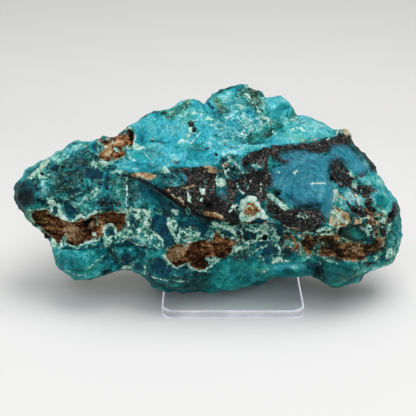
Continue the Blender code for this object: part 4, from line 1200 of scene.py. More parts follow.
    def paint(self, points: Array, back_share: Array) -> dict[str, Array]:
        """Every painted quantity of every point, by attribute name.

        The dabs are added to the regions' tone and hue, and alone they make up "shade" and "cast",
        which tint the matter laid over the chrysocolla. The darkest dabs are painted shadow in the
        crevice under the ledge.

        Args:
            points: Points on the plain sheets.
            back_share: 0 on the display face and 1 on the back.

        Returns:
            The numbers of each attribute.
        """
        a, b = self.bent(points, 0), self.bent(points, 1)
        back = self.back_zones(points)
        painted = {p.value: self.zone(a, b, p) * (1 - back_share) + back[p] * back_share
                   for p in Pigment}
        look = self.looks(a, b)
        shade, cast = self.dabs(a, b)
        look |= {"tone": look["tone"] + shade, "hue": look["hue"] + cast,
                 "shade": shade, "cast": cast}
        back_look = {"tone": -0.3 + 0.4 * swell(points, 22, 47) + 0.3 * swell(points, 9, 48),
                     "hue": 0.1 + 0.5 * swell(points, 30, 50), "speckle": 0.6, "rough": 1.0,
                     "shade": 0.4 * swell(points, 8, 62), "cast": 0.5 * swell(points, 18, 63)}
        for name, values in look.items():
            painted[name] = values * (1 - back_share) + back_look[name] * back_share
        return painted

    def fine_relief(self, points: Array, painted: dict[str, Array]) -> Array:
        """Small relief in millimetres: breakage, terraced rust, grainy black, crusts and pits.

        Args:
            points: Points on the plain sheets.
            painted: The numbers painted on them.

        Returns:
            How far each point stands out.
        """
        rust = smooth_step(-0.2, 1.6, painted["rust"])
        black = smooth_step(-0.3, 1.0, painted["black"])
        crust = smooth_step(-0.2, 1.1, np.maximum(painted["crust"], painted["pale"]))
        window = smooth_step(-0.5, 1.5, painted["window"])
        broken = sum(height * (bowls(points, size, seed, tilt) - self.break_level)
                     for height, size, seed, tilt in self.breakage)
        relief = (painted["rough"] * (1 - 0.85 * window) * (1 - 0.5 * black)
                  * (broken + 0.25 * swell(points, 2.3, 52)))
        level = 2.2 * swell(points, 6.5, 55) + 0.7 * swell(points, 2.4, 56)
        terraces = np.floor(level) + smooth_step(0.3, 0.6, level - np.floor(level))
        relief += rust * (self.terrace_height * terraces - self.terrace_drop)
        relief += black * 0.3 * (bowls(points, 1.5, 57) - 0.35)
        relief += crust * (self.crust_height + 0.35 * (0.6 - bowls(points, 2.0, 58)))
        relief -= self.hollow_depth * smooth_step(0.0, 1.5, painted["hollow"])
        relief -= self.cell_depth * smooth_step(-0.3, 0.6, painted["navy"])
        ripple = np.hypot(points[:, 0] - self.ripple_centre[0], points[:, 1] - self.ripple_centre[1])
        waves = np.sin(ripple * 2.6 + 2 * swell(points, 9, 59))
        return relief + window * self.ripple_height * waves + self.carved(points)

    def carved(self, points: Array) -> Array:
        """Height of the face's grooves and ribs, which fall off smoothly across their width.

        Args:
            points: Points on the plain sheets.

        Returns:
            The height to add at each point.
        """
        relief = np.zeros(len(points))
        for carving in CARVED:
            drawn = on_face(carving.line)
            chosen = near(points[:, 0], points[:, 1], drawn, carving.width)
            gap = line_distance(points[chosen, 0], points[chosen, 1], drawn)[0]
            shape = 1 - smooth_step(0.0, carving.width * 0.75, gap)
            relief[chosen] += carving.height * shape * (points[chosen, 2] > 0)
        return relief

    def build(self) -> bpy.types.Object:
        """The stone as one closed mesh with its attributes."""
        ring, angle = self.grid()
        face, face_normal = self.sheet(ring, angle, is_face=True)
        ring, angle = ring[::2, ::2], angle[::2, ::2]
        inner = np.zeros(ring.shape, bool)
        inner[1:-1, 1:-1] = True
        back, back_normal = (values[inner.ravel()] for values in self.sheet(ring, angle, is_face=False))
        points = np.concatenate([face, back])
        normal = np.concatenate([face_normal, back_normal])
        behind = np.concatenate([np.zeros(len(face)), 1 - ring[inner]])
        painted = self.paint(points, smooth_step(*self.back_fade, behind))
        relief = self.fine_relief(points, painted)
        # The relief is also kept as an attribute: the material paints shade into recesses and highlight
        # onto raised spots by it.
        painted["relief"] = np.clip(relief, *self.painted_relief)
        placed = self.form.rested(self.form.to_table(points + normal * relief[:, None])) * MM
        low, high = (np.array(corner) for corner in CAD_BOX)
        placed = np.clip(placed, low + self.box_inset * MM, high - self.box_inset * MM)
        mesh = bpy.data.meshes.new("chrysocolla_surface")
        mesh.from_pydata(placed, [], self.polygons())
        for name, values in painted.items():
            layer = mesh.attributes.new(name, "FLOAT", "POINT")
            layer.data.foreach_set("value", values.astype(np.float32))
        mesh.shade_smooth()
        return shown("chrysocolla_surface", mesh)


# --- node trees ----------------------------------------------------------------------------------
def linear(colour: Colour) -> tuple[float, float, float, float]:
    """A colour of 0 to 255 screen values as the linear numbers a shader takes."""
    share = [c / 255 for c in colour]
    return (*(c / 12.92 if c <= 0.04045 else ((c + 0.055) / 1.055) ** 2.4 for c in share), 1.0)


class Graph:
    """A node tree, with short ways to add nodes and join them."""

    def __init__(self, tree: Tree) -> None:
        """Takes the tree that nodes are added to.

        Args:
            tree: A material's or a group's node tree.
        """
        self.tree = tree

    def put(self, socket: Socket, value: "Socket | float | tuple") -> None:
        """Joins a socket to another, or sets its value.

        Args:
            socket: The socket that takes the value.
            value: Another socket, or a plain value.
        """
        if isinstance(value, bpy.types.NodeSocket):
            self.tree.links.new(value, socket)
        else:
            socket.default_value = value

    def node(self, kind: str, inputs: dict | None = None, **settings: object) -> bpy.types.Node:
        """A new node.

        Args:
            kind: Its type, without the ShaderNode prefix.
            inputs: Input names or numbers, and what each takes.
            settings: The node's own properties.

        Returns:
            The node.
        """
        node = self.tree.nodes.new("ShaderNode" + kind)
        for name, value in settings.items():
            setattr(node, name, value)
        for name, value in (inputs or {}).items():
            self.put(node.inputs[name], value)
        return node

    def vector(self, operation: str, first: Socket, second: "Socket | tuple | float") -> Socket:
        """One step of vector arithmetic: ADD or MULTIPLY by a vector, or SCALE by a number."""
        inputs = {0: first, ("Scale" if operation == "SCALE" else 1): second}
        return self.node("VectorMath", inputs, operation=operation).outputs[0]

    def shade(self, values: "dict[str, Socket | float | tuple]") -> bpy.types.Node:
        """Sets or joins a material's own Principled shader.

        Args:
            values: What each named input takes.

        Returns:
            The shader.
        """
        shader = self.tree.nodes["Principled BSDF"]
        for name, value in values.items():
            self.put(shader.inputs[name], value)
        return shader

    def place(self) -> Socket:
        """Places on the piece, in millimetres."""
        return self.vector("SCALE", self.node("TexCoord").outputs["Object"], 1 / MM)

    def math(self, operation: str, *values: "Socket | float") -> Socket:
        """One arithmetic step, such as DIVIDE or SINE."""
        return self.node("Math", dict(enumerate(values)), operation=operation).outputs[0]

    def folded(self, operation: str, terms: "tuple[Socket | float, ...]") -> Socket:
        """Several values taken together, two at a time, by one kind of arithmetic step.

        Args:
            operation: The kind of step.
            terms: The values.

        Returns:
            The result.
        """
        result = terms[0]
        for term in terms[1:]:
            result = self.math(operation, result, term)
        return result

    def total(self, *terms: "Socket | float") -> Socket:
        """The sum of several values."""
        return self.folded("ADD", terms)

    def times(self, *terms: "Socket | float") -> Socket:
        """The product of several values."""
        return self.folded("MULTIPLY", terms)

    def most(self, *terms: "Socket | float") -> Socket:
        """The largest of several values."""
        return self.folded("MAXIMUM", terms)

    def less(self, value: "Socket | float", taken: "Socket | float") -> Socket:
        """A value less another."""
        return self.math("SUBTRACT", value, taken)

    def scaled(self, value: Socket, size: "float | Socket", centre: float = 0.5) -> Socket:
        """A value's difference from a centre, times a size."""
        return self.times(self.less(value, centre), size)

    def step(self, value: Socket, low: float, high: float) -> Socket:
        """A smooth step from 0 at low to 1 at high."""
        inputs = {"Value": value, "From Min": low, "From Max": high}
        return self.node("MapRange", inputs, interpolation_type="SMOOTHSTEP").outputs[0]

    def held(self, value: Socket) -> Socket:
        """A value held between 0 and 1."""
        return self.node("Clamp", {0: value}).outputs[0]

    def noise(self, place: Socket, scale: float, detail: float = 3.0, rough: float = 0.55) -> Socket:
        """Fractal noise from 0 to 1, about 0.5."""
        inputs = {"Vector": place, "Scale": scale, "Detail": detail, "Roughness": rough}
        return self.node("TexNoise", inputs).outputs[0]

    def attribute(self, name: str) -> Socket:
        """A number painted on the mesh."""
        return self.node("Attribute", attribute_name=name).outputs["Fac"]

    def ramp(self, value: Socket, stops: Stops) -> Socket:
        """A colour that runs through the stops as the value goes from 0 to 1.

        Args:
            value: The place on the ramp.
            stops: Places, each with its colour.

        Returns:
            The colour.
        """
        node = self.node("ValToRGB", {"Fac": value})
        elements = node.color_ramp.elements
        while len(elements) < len(stops):
            elements.new(0.5)
        for element, (place, colour) in zip(elements, stops):
            element.position = place
            element.color = linear(colour)
        return node.outputs[0]

    def mix(self, share: "Socket | float", low: "Socket | tuple", high: "Socket | tuple") -> Socket:
        """A colour between two others."""
        return self.node("Mix", {0: share, 6: low, 7: high}, data_type="RGBA").outputs[2]

    def blend(self, share: "Socket | float", low: "Socket | float", high: "Socket | float") -> Socket:
        """A number between two others."""
        return self.node("Mix", {0: share, 2: low, 3: high}, data_type="FLOAT").outputs[0]


class Group(Graph):
    """A node group that is being built, with a vector input named Place."""

    def __init__(self, name: str, numbers: dict[str, float], outputs: tuple[str, ...]) -> None:
        """Makes an empty group with named sockets.

        Args:
            name: The group's name.
            numbers: Names of its number inputs, each with its default.
            outputs: Names of the numbers that it puts out.
        """
        super().__init__(bpy.data.node_groups.new(name, "ShaderNodeTree"))
        sockets = self.tree.interface
        sockets.new_socket("Place", in_out="INPUT", socket_type="NodeSocketVector")
        for label, default in numbers.items():
            socket = sockets.new_socket(label, in_out="INPUT", socket_type="NodeSocketFloat")
            socket.default_value = default
        for label in outputs:
            sockets.new_socket(label, in_out="OUTPUT", socket_type="NodeSocketFloat")
        self.given = self.tree.nodes.new("NodeGroupInput").outputs
        self.put_out = self.tree.nodes.new("NodeGroupOutput").inputs

    def fineness(self) -> Socket:
        """How many cells or waves fit into one millimetre: 1 over the size asked for."""
        return self.math("DIVIDE", 1.0, self.given["Size"])

    def bent_place(self, scale: float, detail: float, reach: float) -> Socket:
        """The place asked for, pushed about by the three channels of a noise."""
        bend = self.node("TexNoise", {"Vector": self.given["Place"], "Scale": scale, "Detail": detail})
        push = self.vector("SCALE", bend.outputs["Color"], reach)
        return self.vector("ADD", self.given["Place"], push)


def grain_group() -> Tree:
    """Mineral grain: slow, coarse and fine noise, a height from the last two, and sparse flecks."""
    group = Group("mineral grain", {"Size": 1.0, "Flecks": 0.5},
                  ("Slow", "Coarse", "Fine", "Height", "Fleck"))
    place = group.vector("SCALE", group.given["Place"], group.fineness())
    coarse = group.noise(place, 0.5, 6.0, 0.66)
    fine = group.noise(place, 1.2, 3.0, 0.6)
    spots = group.noise(place, 1.25, 2.0, 0.5)
    limit = group.less(0.75, group.times(group.given["Flecks"], 0.1))
    values = {"Slow": group.noise(place, 0.13, 3.0, 0.6), "Coarse": coarse, "Fine": fine,
              "Height": group.blend(0.45, coarse, fine),
              "Fleck": group.held(group.times(group.less(spots, limit), 20.0))}
    for label, value in values.items():
        group.put(group.put_out[label], value)
    return group.tree


def mosaic_group() -> Tree:
    """Angular mineral grains: a number from 0 to 1 for each bent cell, at two sizes, blended."""
    group = Group("grain mosaic", {"Size": 1.6}, ("Shade",))
    bent = group.bent_place(0.7, 2.0, 3.0)
    shades = []
    for share in (1.0, 2.1):
        scale = group.times(group.fineness(), share)
        cells = group.node("TexVoronoi", {"Vector": bent, "Scale": scale, "Detail": 0.0})
        shades.append(group.node("SeparateXYZ", {0: cells.outputs["Color"]}).outputs[0])
    group.put(group.put_out["Shade"], group.blend(0.4, *shades))
    return group.tree


def vein_group() -> Tree:
    """Curling thin lines, where a smooth noise passes its middle. 1 on a line, 0 away from it."""
    group = Group("mineral veins", {"Size": 4.0, "Width": 0.03}, ("Line",))
    wander = group.node("TexNoise", {"Vector": group.given["Place"], "Scale": group.fineness(),
                                     "Detail": 3.0, "Roughness": 0.55, "Distortion": 0.9})
    gap = group.math("ABSOLUTE", group.less(wander.outputs[0], 0.5))
    share = group.held(group.math("DIVIDE", gap, group.given["Width"]))
    group.put(group.put_out["Line"], group.less(1.0, share))
    return group.tree


def lace_group() -> Tree:
    """Botryoidal lace: 1 on the rims between bent round cells, 0 in the middles of the cells."""
    group = Group("botryoidal lace", {"Size": 2.0}, ("Rim",))
    cells = group.node("TexVoronoi", {"Vector": group.bent_place(0.55, 3.0, 2.6),
                                      "Scale": group.fineness(), "Detail": 0.0})
    group.put(group.put_out["Rim"], group.step(cells.outputs["Distance"], 0.28, 0.62))
    return group.tree


@dataclass(frozen=True)
class Groups:
    """The node groups that the finishes share."""

    grain: Tree = field(default_factory=grain_group)
    mosaic: Tree = field(default_factory=mosaic_group)
    veins: Tree = field(default_factory=vein_group)
    lace: Tree = field(default_factory=lace_group)


# --- finishes ------------------------------------------------------------------------------------
@dataclass(frozen=True)
class Matter:
    """One kind of matter: its screen colours by shade, its edge's raggedness in mm, its dullness.

    The raggedness is how far slow, coarse, fine and cell noise each move the edge. The tint is how
    much the painted shade lightens or darkens it.
    """

    stops: Stops
    ragged: tuple[float, float, float, float]
    roughness: float
    tint: float


MATTERS: dict[Pigment, Matter] = {
    Pigment.WINDOW: Matter(((0.1, (0, 34, 46)), (0.3, (4, 84, 102)), (0.55, (50, 142, 164)),
                            (0.8, (106, 184, 198)), (1.0, (172, 220, 222))),
                           (0.9, 1.4, 0.5, 0.5), 0.34, 0.34),
    Pigment.BLACK: Matter(((0.25, (8, 7, 8)), (0.46, (32, 29, 30)), (0.58, (60, 57, 55)),
                           (0.7, (92, 88, 82)), (0.85, (132, 127, 118))),
                          (1.2, 1.8, 1.0, 1.3), 0.7, 0.22),
    Pigment.BROWN: Matter(((0.2, (30, 14, 7)), (0.36, (88, 52, 28)), (0.5, (144, 96, 56)),
                           (0.64, (184, 140, 98)), (0.85, (214, 188, 150))),
                          (0.9, 1.9, 1.3, 1.0), 0.85, 0.2),
    Pigment.TAN: Matter(((0.2, (92, 68, 42)), (0.42, (166, 132, 92)), (0.6, (206, 184, 144)),
                         (0.78, (186, 212, 184)), (0.95, (214, 230, 208))),
                        (0.6, 1.4, 0.9, 0.8), 0.8, 0.2),
    Pigment.NAVY: Matter(((0.2, (0, 20, 32)), (0.45, (0, 56, 74)), (0.65, (0, 90, 108)),
                          (0.85, (60, 150, 158))), (0.7, 1.5, 1.0, 1.0), 0.4, 0.3),
    Pigment.CRUST: Matter(((0.16, (10, 70, 70)), (0.36, (64, 144, 130)), (0.54, (136, 196, 174)),
                           (0.7, (188, 226, 206)), (0.9, (228, 244, 232))),
                          (0.5, 1.3, 1.1, 0.9), 0.75, 0.15),
    Pigment.PALE: Matter(((0.15, (80, 150, 132)), (0.36, (146, 206, 184)), (0.58, (200, 234, 218)),
                          (0.8, (238, 247, 240))), (0.3, 0.8, 0.9, 0.7), 0.75, 0.3),
    Pigment.OCHRE: Matter(((0.2, (46, 28, 14)), (0.45, (120, 76, 40)), (0.65, (172, 118, 70)),
                           (0.74, (158, 186, 146)), (0.9, (196, 226, 200))),
                          (0.8, 2.0, 1.8, 1.4), 0.85, 0.15),
    # Near-black in the pits: black specks, and painted shade in the holes.
    Pigment.HOLE: Matter(((0.3, (4, 4, 5)), (0.7, (20, 17, 15))), (0.2, 0.5, 0.4, 0.3), 0.8, 0.0),
}


class StoneNodes(Graph):
    """The stone's material tree, with the places, noises and painted numbers its colours share."""

    def __init__(self, tree: Tree, groups: Groups) -> None:
        """Adds the nodes that several colours take.

        Args:
            tree: The material's tree.
            groups: The shared node groups.
        """
        super().__init__(tree)
        self.groups = groups
        self.here = self.place()
        self.elsewhere = self.vector("ADD", self.here, (31.0, 17.0, 5.0))
        self.streaky = self.noise(self.vector("MULTIPLY", self.here, (0.3, 1.0, 1.1)), 0.75, 4.0, 0.65)
        self.speckle = self.attribute("speckle")
        self.relief = self.attribute("relief")
        self.grains = self.node("Group", {"Place": self.here, "Flecks": self.speckle},
                                node_tree=groups.grain).outputs
        self.slow, self.coarse, self.fine = (self.grains[name] for name in ("Slow", "Coarse", "Fine"))
        self.bits = self.sized(groups.mosaic, self.here, 1.5)
        self.wide_net = self.net(self.here, 5.5, 0.02)
        self.drift = self.scaled(self.noise(self.elsewhere, 0.16, 3.0), 2.6)
        self.gate = self.step(self.total(self.speckle, self.drift), 0.45, 0.95)

    def sized(self, group: Tree, place: Socket, size: float) -> Socket:
        """A group's one number, at a size in millimetres."""
        return self.node("Group", {"Place": place, "Size": size}, node_tree=group).outputs[0]

    def net(self, place: Socket, size: float, width: float) -> Socket:
        """A net of veins: 1 on its lines, which are a share of the net's size wide."""
        inputs = {"Place": place, "Size": size, "Width": width}
        return self.node("Group", inputs, node_tree=self.groups.veins).outputs[0]


@dataclass(frozen=True)
class StoneFinish:
    """The stone's colours: the chrysocolla from blue through green to olive, and each matter."""

    blue: Stops = ((0.0, (0, 18, 28)), (0.16, (0, 44, 58)), (0.34, (0, 80, 96)),
                   (0.5, (0, 124, 138)), (0.66, (18, 156, 174)), (0.83, (78, 192, 208)),
                   (1.0, (172, 230, 228)))
    green: Stops = ((0.0, (0, 20, 18)), (0.16, (0, 46, 44)), (0.34, (0, 82, 79)),
                    (0.5, (6, 122, 118)), (0.66, (44, 164, 152)), (0.83, (116, 200, 184)),
                    (1.0, (200, 234, 216)))
    olive: Stops = ((0.0, (10, 12, 8)), (0.16, (28, 34, 24)), (0.34, (54, 70, 50)),
                    (0.5, (86, 112, 80)), (0.66, (124, 154, 118)), (0.83, (170, 196, 160)),
                    (1.0, (222, 232, 204)))
    umber: Stops = ((0.2, (20, 15, 8)), (0.38, (66, 50, 28)), (0.52, (118, 90, 50)),
                    (0.66, (168, 130, 76)), (0.85, (206, 178, 122)))
    crack: Colour = (0, 24, 32)
    stone_roughness: float = 0.5
    specular_level: float = 0.15
    bump_depth: float = 0.0008
    matter_edge: Point = (-0.14, 0.2)
    swing_reach: float = 3.2
    arc_centre: tuple[float, float, float] = (32.9, -8.0, 54.0)

    def masks(self, n: StoneNodes) -> dict[Pigment, Socket]:
        """Where each matter lies: 1 inside its painted zone, with an edge that noise makes ragged.

        The black also hazes the window near it and has chinks, and a crust rims the brown.

        Args:
            n: The material's nodes.

        Returns:
            The mask of each matter.
        """
        masks = {}
        for pigment, matter in MATTERS.items():
            edge = n.total(*(n.scaled(noise, size) for noise, size in
                             zip((n.slow, n.coarse, n.fine, n.bits), matter.ragged)))
            reach = n.total(n.attribute(pigment.value), edge)
            masks[pigment] = n.step(reach, *self.matter_edge)
            if pigment is Pigment.BLACK:
                haze = n.times(n.step(reach, -2.6, 0.4), masks[Pigment.WINDOW], 0.75)
                chinks = n.total(n.noise(n.here, 0.8, 4.0, 0.65), n.times(n.speckle, 0.1))
                masks[pigment] = n.times(n.most(masks[pigment], haze), n.step(chinks, 0.7, 0.65))
        gap = n.math("ABSOLUTE", n.total(n.attribute("rust"), n.scaled(n.coarse, 1.6), 0.5))
        rim = n.times(n.less(1.0, n.step(gap, 0.25, 0.6)), n.step(n.drift, -0.2, 0.2))
        masks[Pigment.CRUST] = n.most(masks[Pigment.CRUST], rim)
        return masks

    def chrysocolla(self, n: StoneNodes, calm: Socket, pale_line: Socket) -> Socket:
        """The chrysocolla's colour: a light and a hue, with pale flecks, specks and cracks.

        The relief paints shade into its recesses and highlight onto its raised spots.

        Args:
            n: The material's nodes.
            calm: 0.2 in the clear window and 1 elsewhere.
            pale_line: 1 on the pale veins.

        Returns:
            The colour.
        """
        tone = n.attribute("tone")
        busy = n.times(n.speckle, n.scaled(n.bits, 2.4))
        # The relief's share paints shade into recesses and highlight onto raised spots.
        swing_and_shade = n.total(n.scaled(n.slow, 1.5), n.scaled(n.coarse, 3.0), n.scaled(n.fine, 2.6), busy,
                        n.relief, n.times(n.wide_net, -0.4))
        swing_and_shade = n.times(swing_and_shade, n.times(calm, n.total(n.speckle, 0.2)))
        light = n.total(n.math("DIVIDE", n.total(tone, swing_and_shade), self.swing_reach), 0.5)
        hue = n.total(n.times(n.attribute("hue"), 0.5), 0.26,
                      n.scaled(n.noise(n.elsewhere, 0.14, 5.0), 1.15), n.scaled(n.fine, 0.4))
        colour = n.mix(n.held(n.times(hue, 2.0)), n.ramp(light, self.blue), n.ramp(light, self.green))
        colour = n.mix(n.step(hue, 0.5, 0.95), colour, n.ramp(light, self.olive))
        pale = n.times(n.most(pale_line, n.grains["Fleck"]), n.total(0.25, n.times(n.coarse, 0.9)))
        pale_place = n.total(n.coarse, 0.03, n.times(tone, 0.08))
        colour = n.mix(n.times(pale, calm), colour, n.ramp(pale_place, MATTERS[Pigment.CRUST].stops))
        specks = n.total(n.noise(n.elsewhere, 1.1, 3.0), n.scaled(n.slow, 0.35))
        specks = n.times(n.step(specks, 0.635, 0.68), n.gate)
        cracks = n.times(n.net(n.here, 2.5, 0.03), n.step(n.less(n.speckle, n.drift), 0.4, 0.9), 0.8)
        return n.mix(n.times(n.most(specks, cracks), calm), colour, linear(self.crack))

    def shades(self, n: StoneNodes, threads: Socket) -> dict[Pigment, Socket]:
        """Each matter's place on its own ramp of colours, from noises and painted relief shade.

        Args:
            n: The material's nodes.
            threads: 1 on the net of fine veins.

        Returns:
            The place on each ramp, about 0.5.
        """
        rims = n.sized(n.groups.lace, n.here, 2.1)
        # The relief's share paints shade into recesses and highlight onto raised spots.
        plain = n.total(n.scaled(n.coarse, 1.2), n.scaled(n.fine, 0.8), n.scaled(n.bits, 0.3), 0.5,
                        n.times(n.relief, 0.16))
        rings = n.math("SINE", n.total(n.times(n.attribute("crust"), 6.0), n.times(n.coarse, 9.0)))
        away = n.node("VectorMath", {0: n.here, 1: self.arc_centre}, operation="DISTANCE")
        arcs = n.math("SINE", n.total(n.times(away.outputs["Value"], 3.4), n.scaled(n.slow, 9.0),
                                      n.scaled(n.coarse, 4.0)))
        return {
            Pigment.WINDOW: n.total(n.scaled(n.coarse, 0.5), n.scaled(n.fine, 0.25), 0.5,
                                    n.times(threads, 0.12), n.scaled(n.streaky, 0.3),
                                    n.times(arcs, 0.035)),
            Pigment.BLACK: n.total(plain, n.scaled(n.coarse, -0.6), n.scaled(n.fine, 0.7),
                                   n.times(n.net(n.here, 1.5, 0.05), 0.18), -0.05),
            Pigment.BROWN: n.total(plain, n.scaled(n.coarse, -0.5), n.scaled(n.streaky, 1.3),
                                   n.scaled(n.slow, 0.4), n.times(threads, -0.2)),
            Pigment.TAN: plain,
            Pigment.NAVY: n.total(n.scaled(n.coarse, 0.9), n.scaled(n.fine, 0.5), 0.48),
            Pigment.CRUST: n.total(plain, n.times(rings, 0.06), n.scaled(n.fine, 0.7),
                                   n.scaled(rims, 0.36, 0.6)),
            Pigment.PALE: n.total(plain, n.scaled(rims, 0.2, 0.7)),
            Pigment.OCHRE: n.total(plain, n.scaled(n.fine, 0.8)),
            Pigment.HOLE: plain,
        }

    def material(self, groups: Groups) -> bpy.types.Material:
        """The stone's material: the chrysocolla, and each matter laid over it by its own mask.

        Args:
            groups: The shared node groups.

        Returns:
            The material.
        """
        material = bpy.data.materials.new("chrysocolla and matrix")
        material.use_nodes = True
        n = StoneNodes(material.node_tree, groups)
        masks = self.masks(n)
        calm = n.less(1.0, n.times(masks[Pigment.WINDOW], 0.8))
        threads = n.net(n.elsewhere, 3.2, 0.026)
        thin_gate = n.times(n.gate, n.step(n.slow, 0.42, 0.6))
        pale_line = n.most(n.times(threads, n.gate),
                           n.times(n.net(n.elsewhere, 1.9, 0.034), thin_gate))
        colour = self.chrysocolla(n, calm, pale_line)
        dull = n.total(self.stone_roughness, n.scaled(n.fine, 0.3))
        shades, tint = self.shades(n, threads), n.attribute("shade")
        toward_umber = n.step(n.total(n.attribute("cast"), n.scaled(n.coarse, 0.8)), 0.1, 0.9)
        for pigment, matter in MATTERS.items():
            ramp_place = n.total(shades[pigment], n.times(tint, matter.tint))
            laid = n.ramp(ramp_place, matter.stops)
            if pigment is Pigment.BROWN:
                laid = n.mix(toward_umber, laid, n.ramp(ramp_place, self.umber))
            colour = n.mix(masks[pigment], colour, laid)
            dull = n.blend(masks[pigment], dull, matter.roughness)
        height = n.total(n.times(n.grains["Height"], calm), n.times(n.wide_net, -0.3),
                         n.times(pale_line, 0.2))
        bump = n.node("Bump", {"Height": height, "Distance": self.bump_depth, "Strength": 1.0})
        n.shade({"Specular IOR Level": self.specular_level, "Base Color": colour,
                 "Roughness": dull, "Normal": bump.outputs[0]})
        return material


@dataclass(frozen=True)
class AcrylicFinish:
    """Clear polished acrylic with faint handling scuffs, and painted highlights glowing in its cut
    edges.
    """

    tint: tuple[float, float, float, float] = (0.97, 0.985, 0.985, 1.0)
    ior: float = 1.49
    roughness: Point = (0.015, 0.07)
    shade: tuple[float, float, float, float] = (0.86, 0.89, 0.9, 1.0)
    sheet: float = 3.5
    corner: float = 5.0
    edge_light: Colour = (226, 224, 240)
    edge_strength: float = 0.4
    edge_width: float = 0.9
    side_share: float = 0.85
    glow: tuple[float, float, float] = (0.5, 0.42, 0.6)

    def edges(self, g: Graph, place: Socket, grains: bpy.types.Node) -> Socket:
        """Painted highlights, a glow in the cut edges: 0 on the faces, strongest on an edge's two rims.

        The front edge glows evenly, more on its rims, which lie half a sheet above and below its
        middle, and more again in painted glints where slow noise is high. The side edges and the top
        edge glow as painted highlight lines.

        Args:
            g: The material's graph.
            place: Places on the piece, in millimetres.
            grains: The grain group's node.

        Returns:
            The strength of the light.
        """
        low, high = (np.array(corner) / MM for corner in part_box("acrylic_easel"))
        half_width, middle = (high[0] - low[0]) / 2, (high[0] + low[0]) / 2
        split = g.node("SeparateXYZ", {0: place}).outputs
        aside = g.math("ABSOLUTE", g.less(split["X"], middle))
        # Every share here is a painted highlight: the side lines, the front's rims and glints, the top
        # edge.
        sides = g.step(aside, half_width - self.edge_width, half_width - self.edge_width / 3)
        rounding = g.times(g.step(aside, half_width - self.corner, half_width), 4.0)
        front = g.step(g.less(split["Y"], g.total(low[1], rounding)), self.edge_width, 0.2)
        rim = g.step(g.math("ABSOLUTE", g.less(split["Z"], self.sheet / 2)), 0.7, 1.5)
        marks_and_glints = g.step(g.total(grains.outputs["Slow"], g.scaled(grains.outputs["Fine"], 0.6)),
                       0.4, 0.75)
        even, on_rim, on_glints = self.glow
        glow = g.total(even, g.times(rim, on_rim), g.times(marks_and_glints, on_glints))
        top = g.step(split["Z"], high[2] - 1.6, high[2] - 0.8)
        share = g.most(g.times(front, glow), g.times(sides, self.side_share), top)
        return g.times(share, self.edge_strength)

    def material(self, groups: Groups) -> bpy.types.Material:
        """The easel's material.

        Args:
            groups: The shared node groups.

        Returns:
            The material, which lets light pass to the floor below it.
        """
        material = bpy.data.materials.new("clear acrylic")
        material.use_nodes = True
        g = Graph(material.node_tree)
        place = g.place()
        grains = g.node("Group", {"Place": place, "Size": 9.0}, node_tree=groups.grain)
        marks_and_glints = g.step(grains.outputs["Coarse"], 0.5, 0.68)
        # Its emission is a painted glow of highlights in the cut edges.
        shader = g.shade({"Base Color": self.tint, "Transmission Weight": 1.0, "IOR": self.ior,
                          "Roughness": g.blend(marks_and_glints, *self.roughness),
                          "Emission Color": linear(self.edge_light),
                          "Emission Strength": self.edges(g, place, grains)})
        path = g.node("LightPath")
        passes = g.most(path.outputs["Is Shadow Ray"], path.outputs["Is Diffuse Ray"])
        clear = g.node("BsdfTransparent", {"Color": self.shade})
        both = g.node("MixShader", {0: passes, 1: shader.outputs[0], 2: clear.outputs[0]})
        g.put(g.tree.nodes["Material Output"].inputs["Surface"], both.outputs[0])
        return material


# --- studio --------------------------------------------------------------------------------------
@dataclass(frozen=True)
class Lamp:
    """A soft rectangular lamp: its place and size in metres, and its power in watts."""

    name: str
    place: tuple[float, float, float]
    size: Point
    power: float


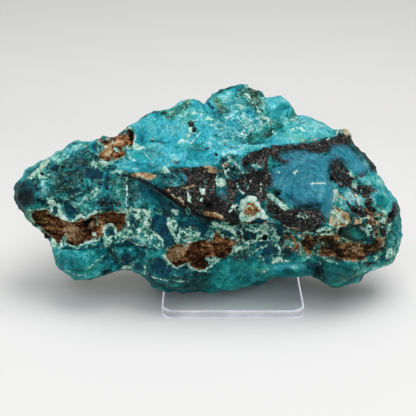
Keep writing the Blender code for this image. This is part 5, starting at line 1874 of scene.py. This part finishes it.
@dataclass(frozen=True)
class Studio:
    """A pale sweep that curves up behind, soft lamps above and around, and the camera."""

    aim: tuple[float, float, float] = (-0.0111, 0.0072, 0.0398)
    distance: float = 0.447
    elevation_deg: float = 22.0
    view_px: float = 979.0
    frame_px: float = 416.0
    sensor: float = 36.0
    # The far paper colour is darker: painted shade of the light's falloff towards the back.
    paper_near_and_shaded_far: tuple[Colour, Colour] = ((237, 236, 235), (183, 184, 179))
    shade_grading: Point = (0.3, 0.68)
    sweep_start: float = 0.27
    sweep_radius: float = 0.42
    sweep_height: float = 1.0
    sweep_width: float = 3.2
    sweep_roughness: float = 0.6
    front_edge: float = -1.4
    lamps: tuple[Lamp, ...] = (
        Lamp("overhead softbox", (0.17, 0.0, 0.8), (0.8, 0.65), 5.5),
        Lamp("front softbox", (-0.05, -0.7, 0.7), (0.6, 0.5), 2.85),
        Lamp("left fill", (-0.75, 0.0, 0.22), (0.5, 0.4), 1.9),
    )
    world_colour: Colour = (244, 246, 250)
    world_strength: float = 0.17

    def paper(self) -> bpy.types.Material:
        """The sweep's paper, graded darker from near to far: painted shade of the light's falloff."""
        material = bpy.data.materials.new("paper with painted falloff shade")
        material.use_nodes = True
        g = Graph(material.node_tree)
        split = g.node("SeparateXYZ", {0: g.node("TexCoord").outputs["Object"]})
        near_paper, shaded_far_paper = (linear(colour) for colour in self.paper_near_and_shaded_far)
        graded = g.mix(g.step(split.outputs["Y"], *self.shade_grading), near_paper, shaded_far_paper)
        g.shade({"Base Color": graded, "Roughness": self.sweep_roughness})
        return material

    def sweep(self) -> bpy.types.Object:
        """The floor and backdrop: a profile of a flat, a quarter turn and a rise, carried across."""
        turn = np.linspace(0, math.pi / 2, 25)
        flat = np.linspace(self.front_edge, self.sweep_start, 12)[:-1]
        rise = np.linspace(self.sweep_radius, self.sweep_height, 6)[1:]
        back = self.sweep_start + self.sweep_radius
        y = np.concatenate([flat, self.sweep_start + self.sweep_radius * np.sin(turn),
                            np.full(len(rise), back)])
        z = np.concatenate([np.zeros(len(flat)), self.sweep_radius * (1 - np.cos(turn)), rise])
        x = np.linspace(-self.sweep_width / 2, self.sweep_width / 2, 9)
        points = np.stack([np.repeat(x, len(y)), np.tile(y, len(x)), np.tile(z, len(x))], -1)
        index = np.arange(len(points)).reshape(len(x), -1)
        corners = (index[:-1, :-1], index[1:, :-1], index[1:, 1:], index[:-1, 1:])
        mesh = bpy.data.meshes.new("sweep")
        mesh.from_pydata(points, [], np.stack([c.ravel() for c in corners], -1).tolist())
        mesh.shade_smooth()
        mesh.materials.append(self.paper())
        sweep = shown("sweep", mesh)
        return sweep

    def light(self) -> None:
        """The lamps, all turned to the stone, and the pale surroundings."""
        for lamp in self.lamps:
            light = bpy.data.lights.new(lamp.name, "AREA")
            light.shape = "RECTANGLE"
            light.size, light.size_y = lamp.size
            light.energy = lamp.power
            holder = shown(lamp.name, light)
            holder.location = lamp.place
            away = Vector(lamp.place) - Vector(self.aim)
            holder.rotation_euler = away.to_track_quat("Z", "Y").to_euler()
        world = bpy.data.worlds.new("studio")
        world.use_nodes = True
        sky = world.node_tree.nodes["Background"]
        sky.inputs["Color"].default_value = linear(self.world_colour)
        sky.inputs["Strength"].default_value = self.world_strength
        bpy.context.scene.world = world

    def camera(self) -> bpy.types.Object:
        """The camera: it looks down at the stone's face plane, squarely."""
        lens = bpy.data.cameras.new("camera")
        lens.sensor_width = self.sensor
        lens.lens = self.view_px / self.frame_px * self.sensor
        camera = shown("camera", lens)
        tilt = math.radians(self.elevation_deg)
        away = Vector((0.0, -math.cos(tilt), math.sin(tilt)))
        camera.location = Vector(self.aim) + away * self.distance
        camera.rotation_euler = away.to_track_quat("Z", "Y").to_euler()
        bpy.context.scene.camera = camera
        return camera


def main() -> None:
    """Builds the studio, the stone and the easel's finish, and reports each."""
    logging.basicConfig(level=logging.INFO, format="%(name)s: %(message)s")
    bpy.context.scene.view_settings.view_transform = "Standard"
    studio = Studio()
    log.info("camera: %.1f mm lens", studio.camera().data.lens)
    studio.light()
    log.info("sweep: %d faces", len(studio.sweep().data.polygons))
    groups = Groups()
    stone = StoneSurface().build()
    stone.data.materials.append(StoneFinish().material(groups))
    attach(stone, "root")
    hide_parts("chrysocolla_stone")
    log.info("stone: %d points, %d faces", len(stone.data.vertices), len(stone.data.polygons))
    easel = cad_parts["acrylic_easel"]
    easel.material_slots[0].material = AcrylicFinish().material(groups)
    log.info("easel: finished in %s", easel.material_slots[0].material.name)


if __name__ == "__main__":
    main()
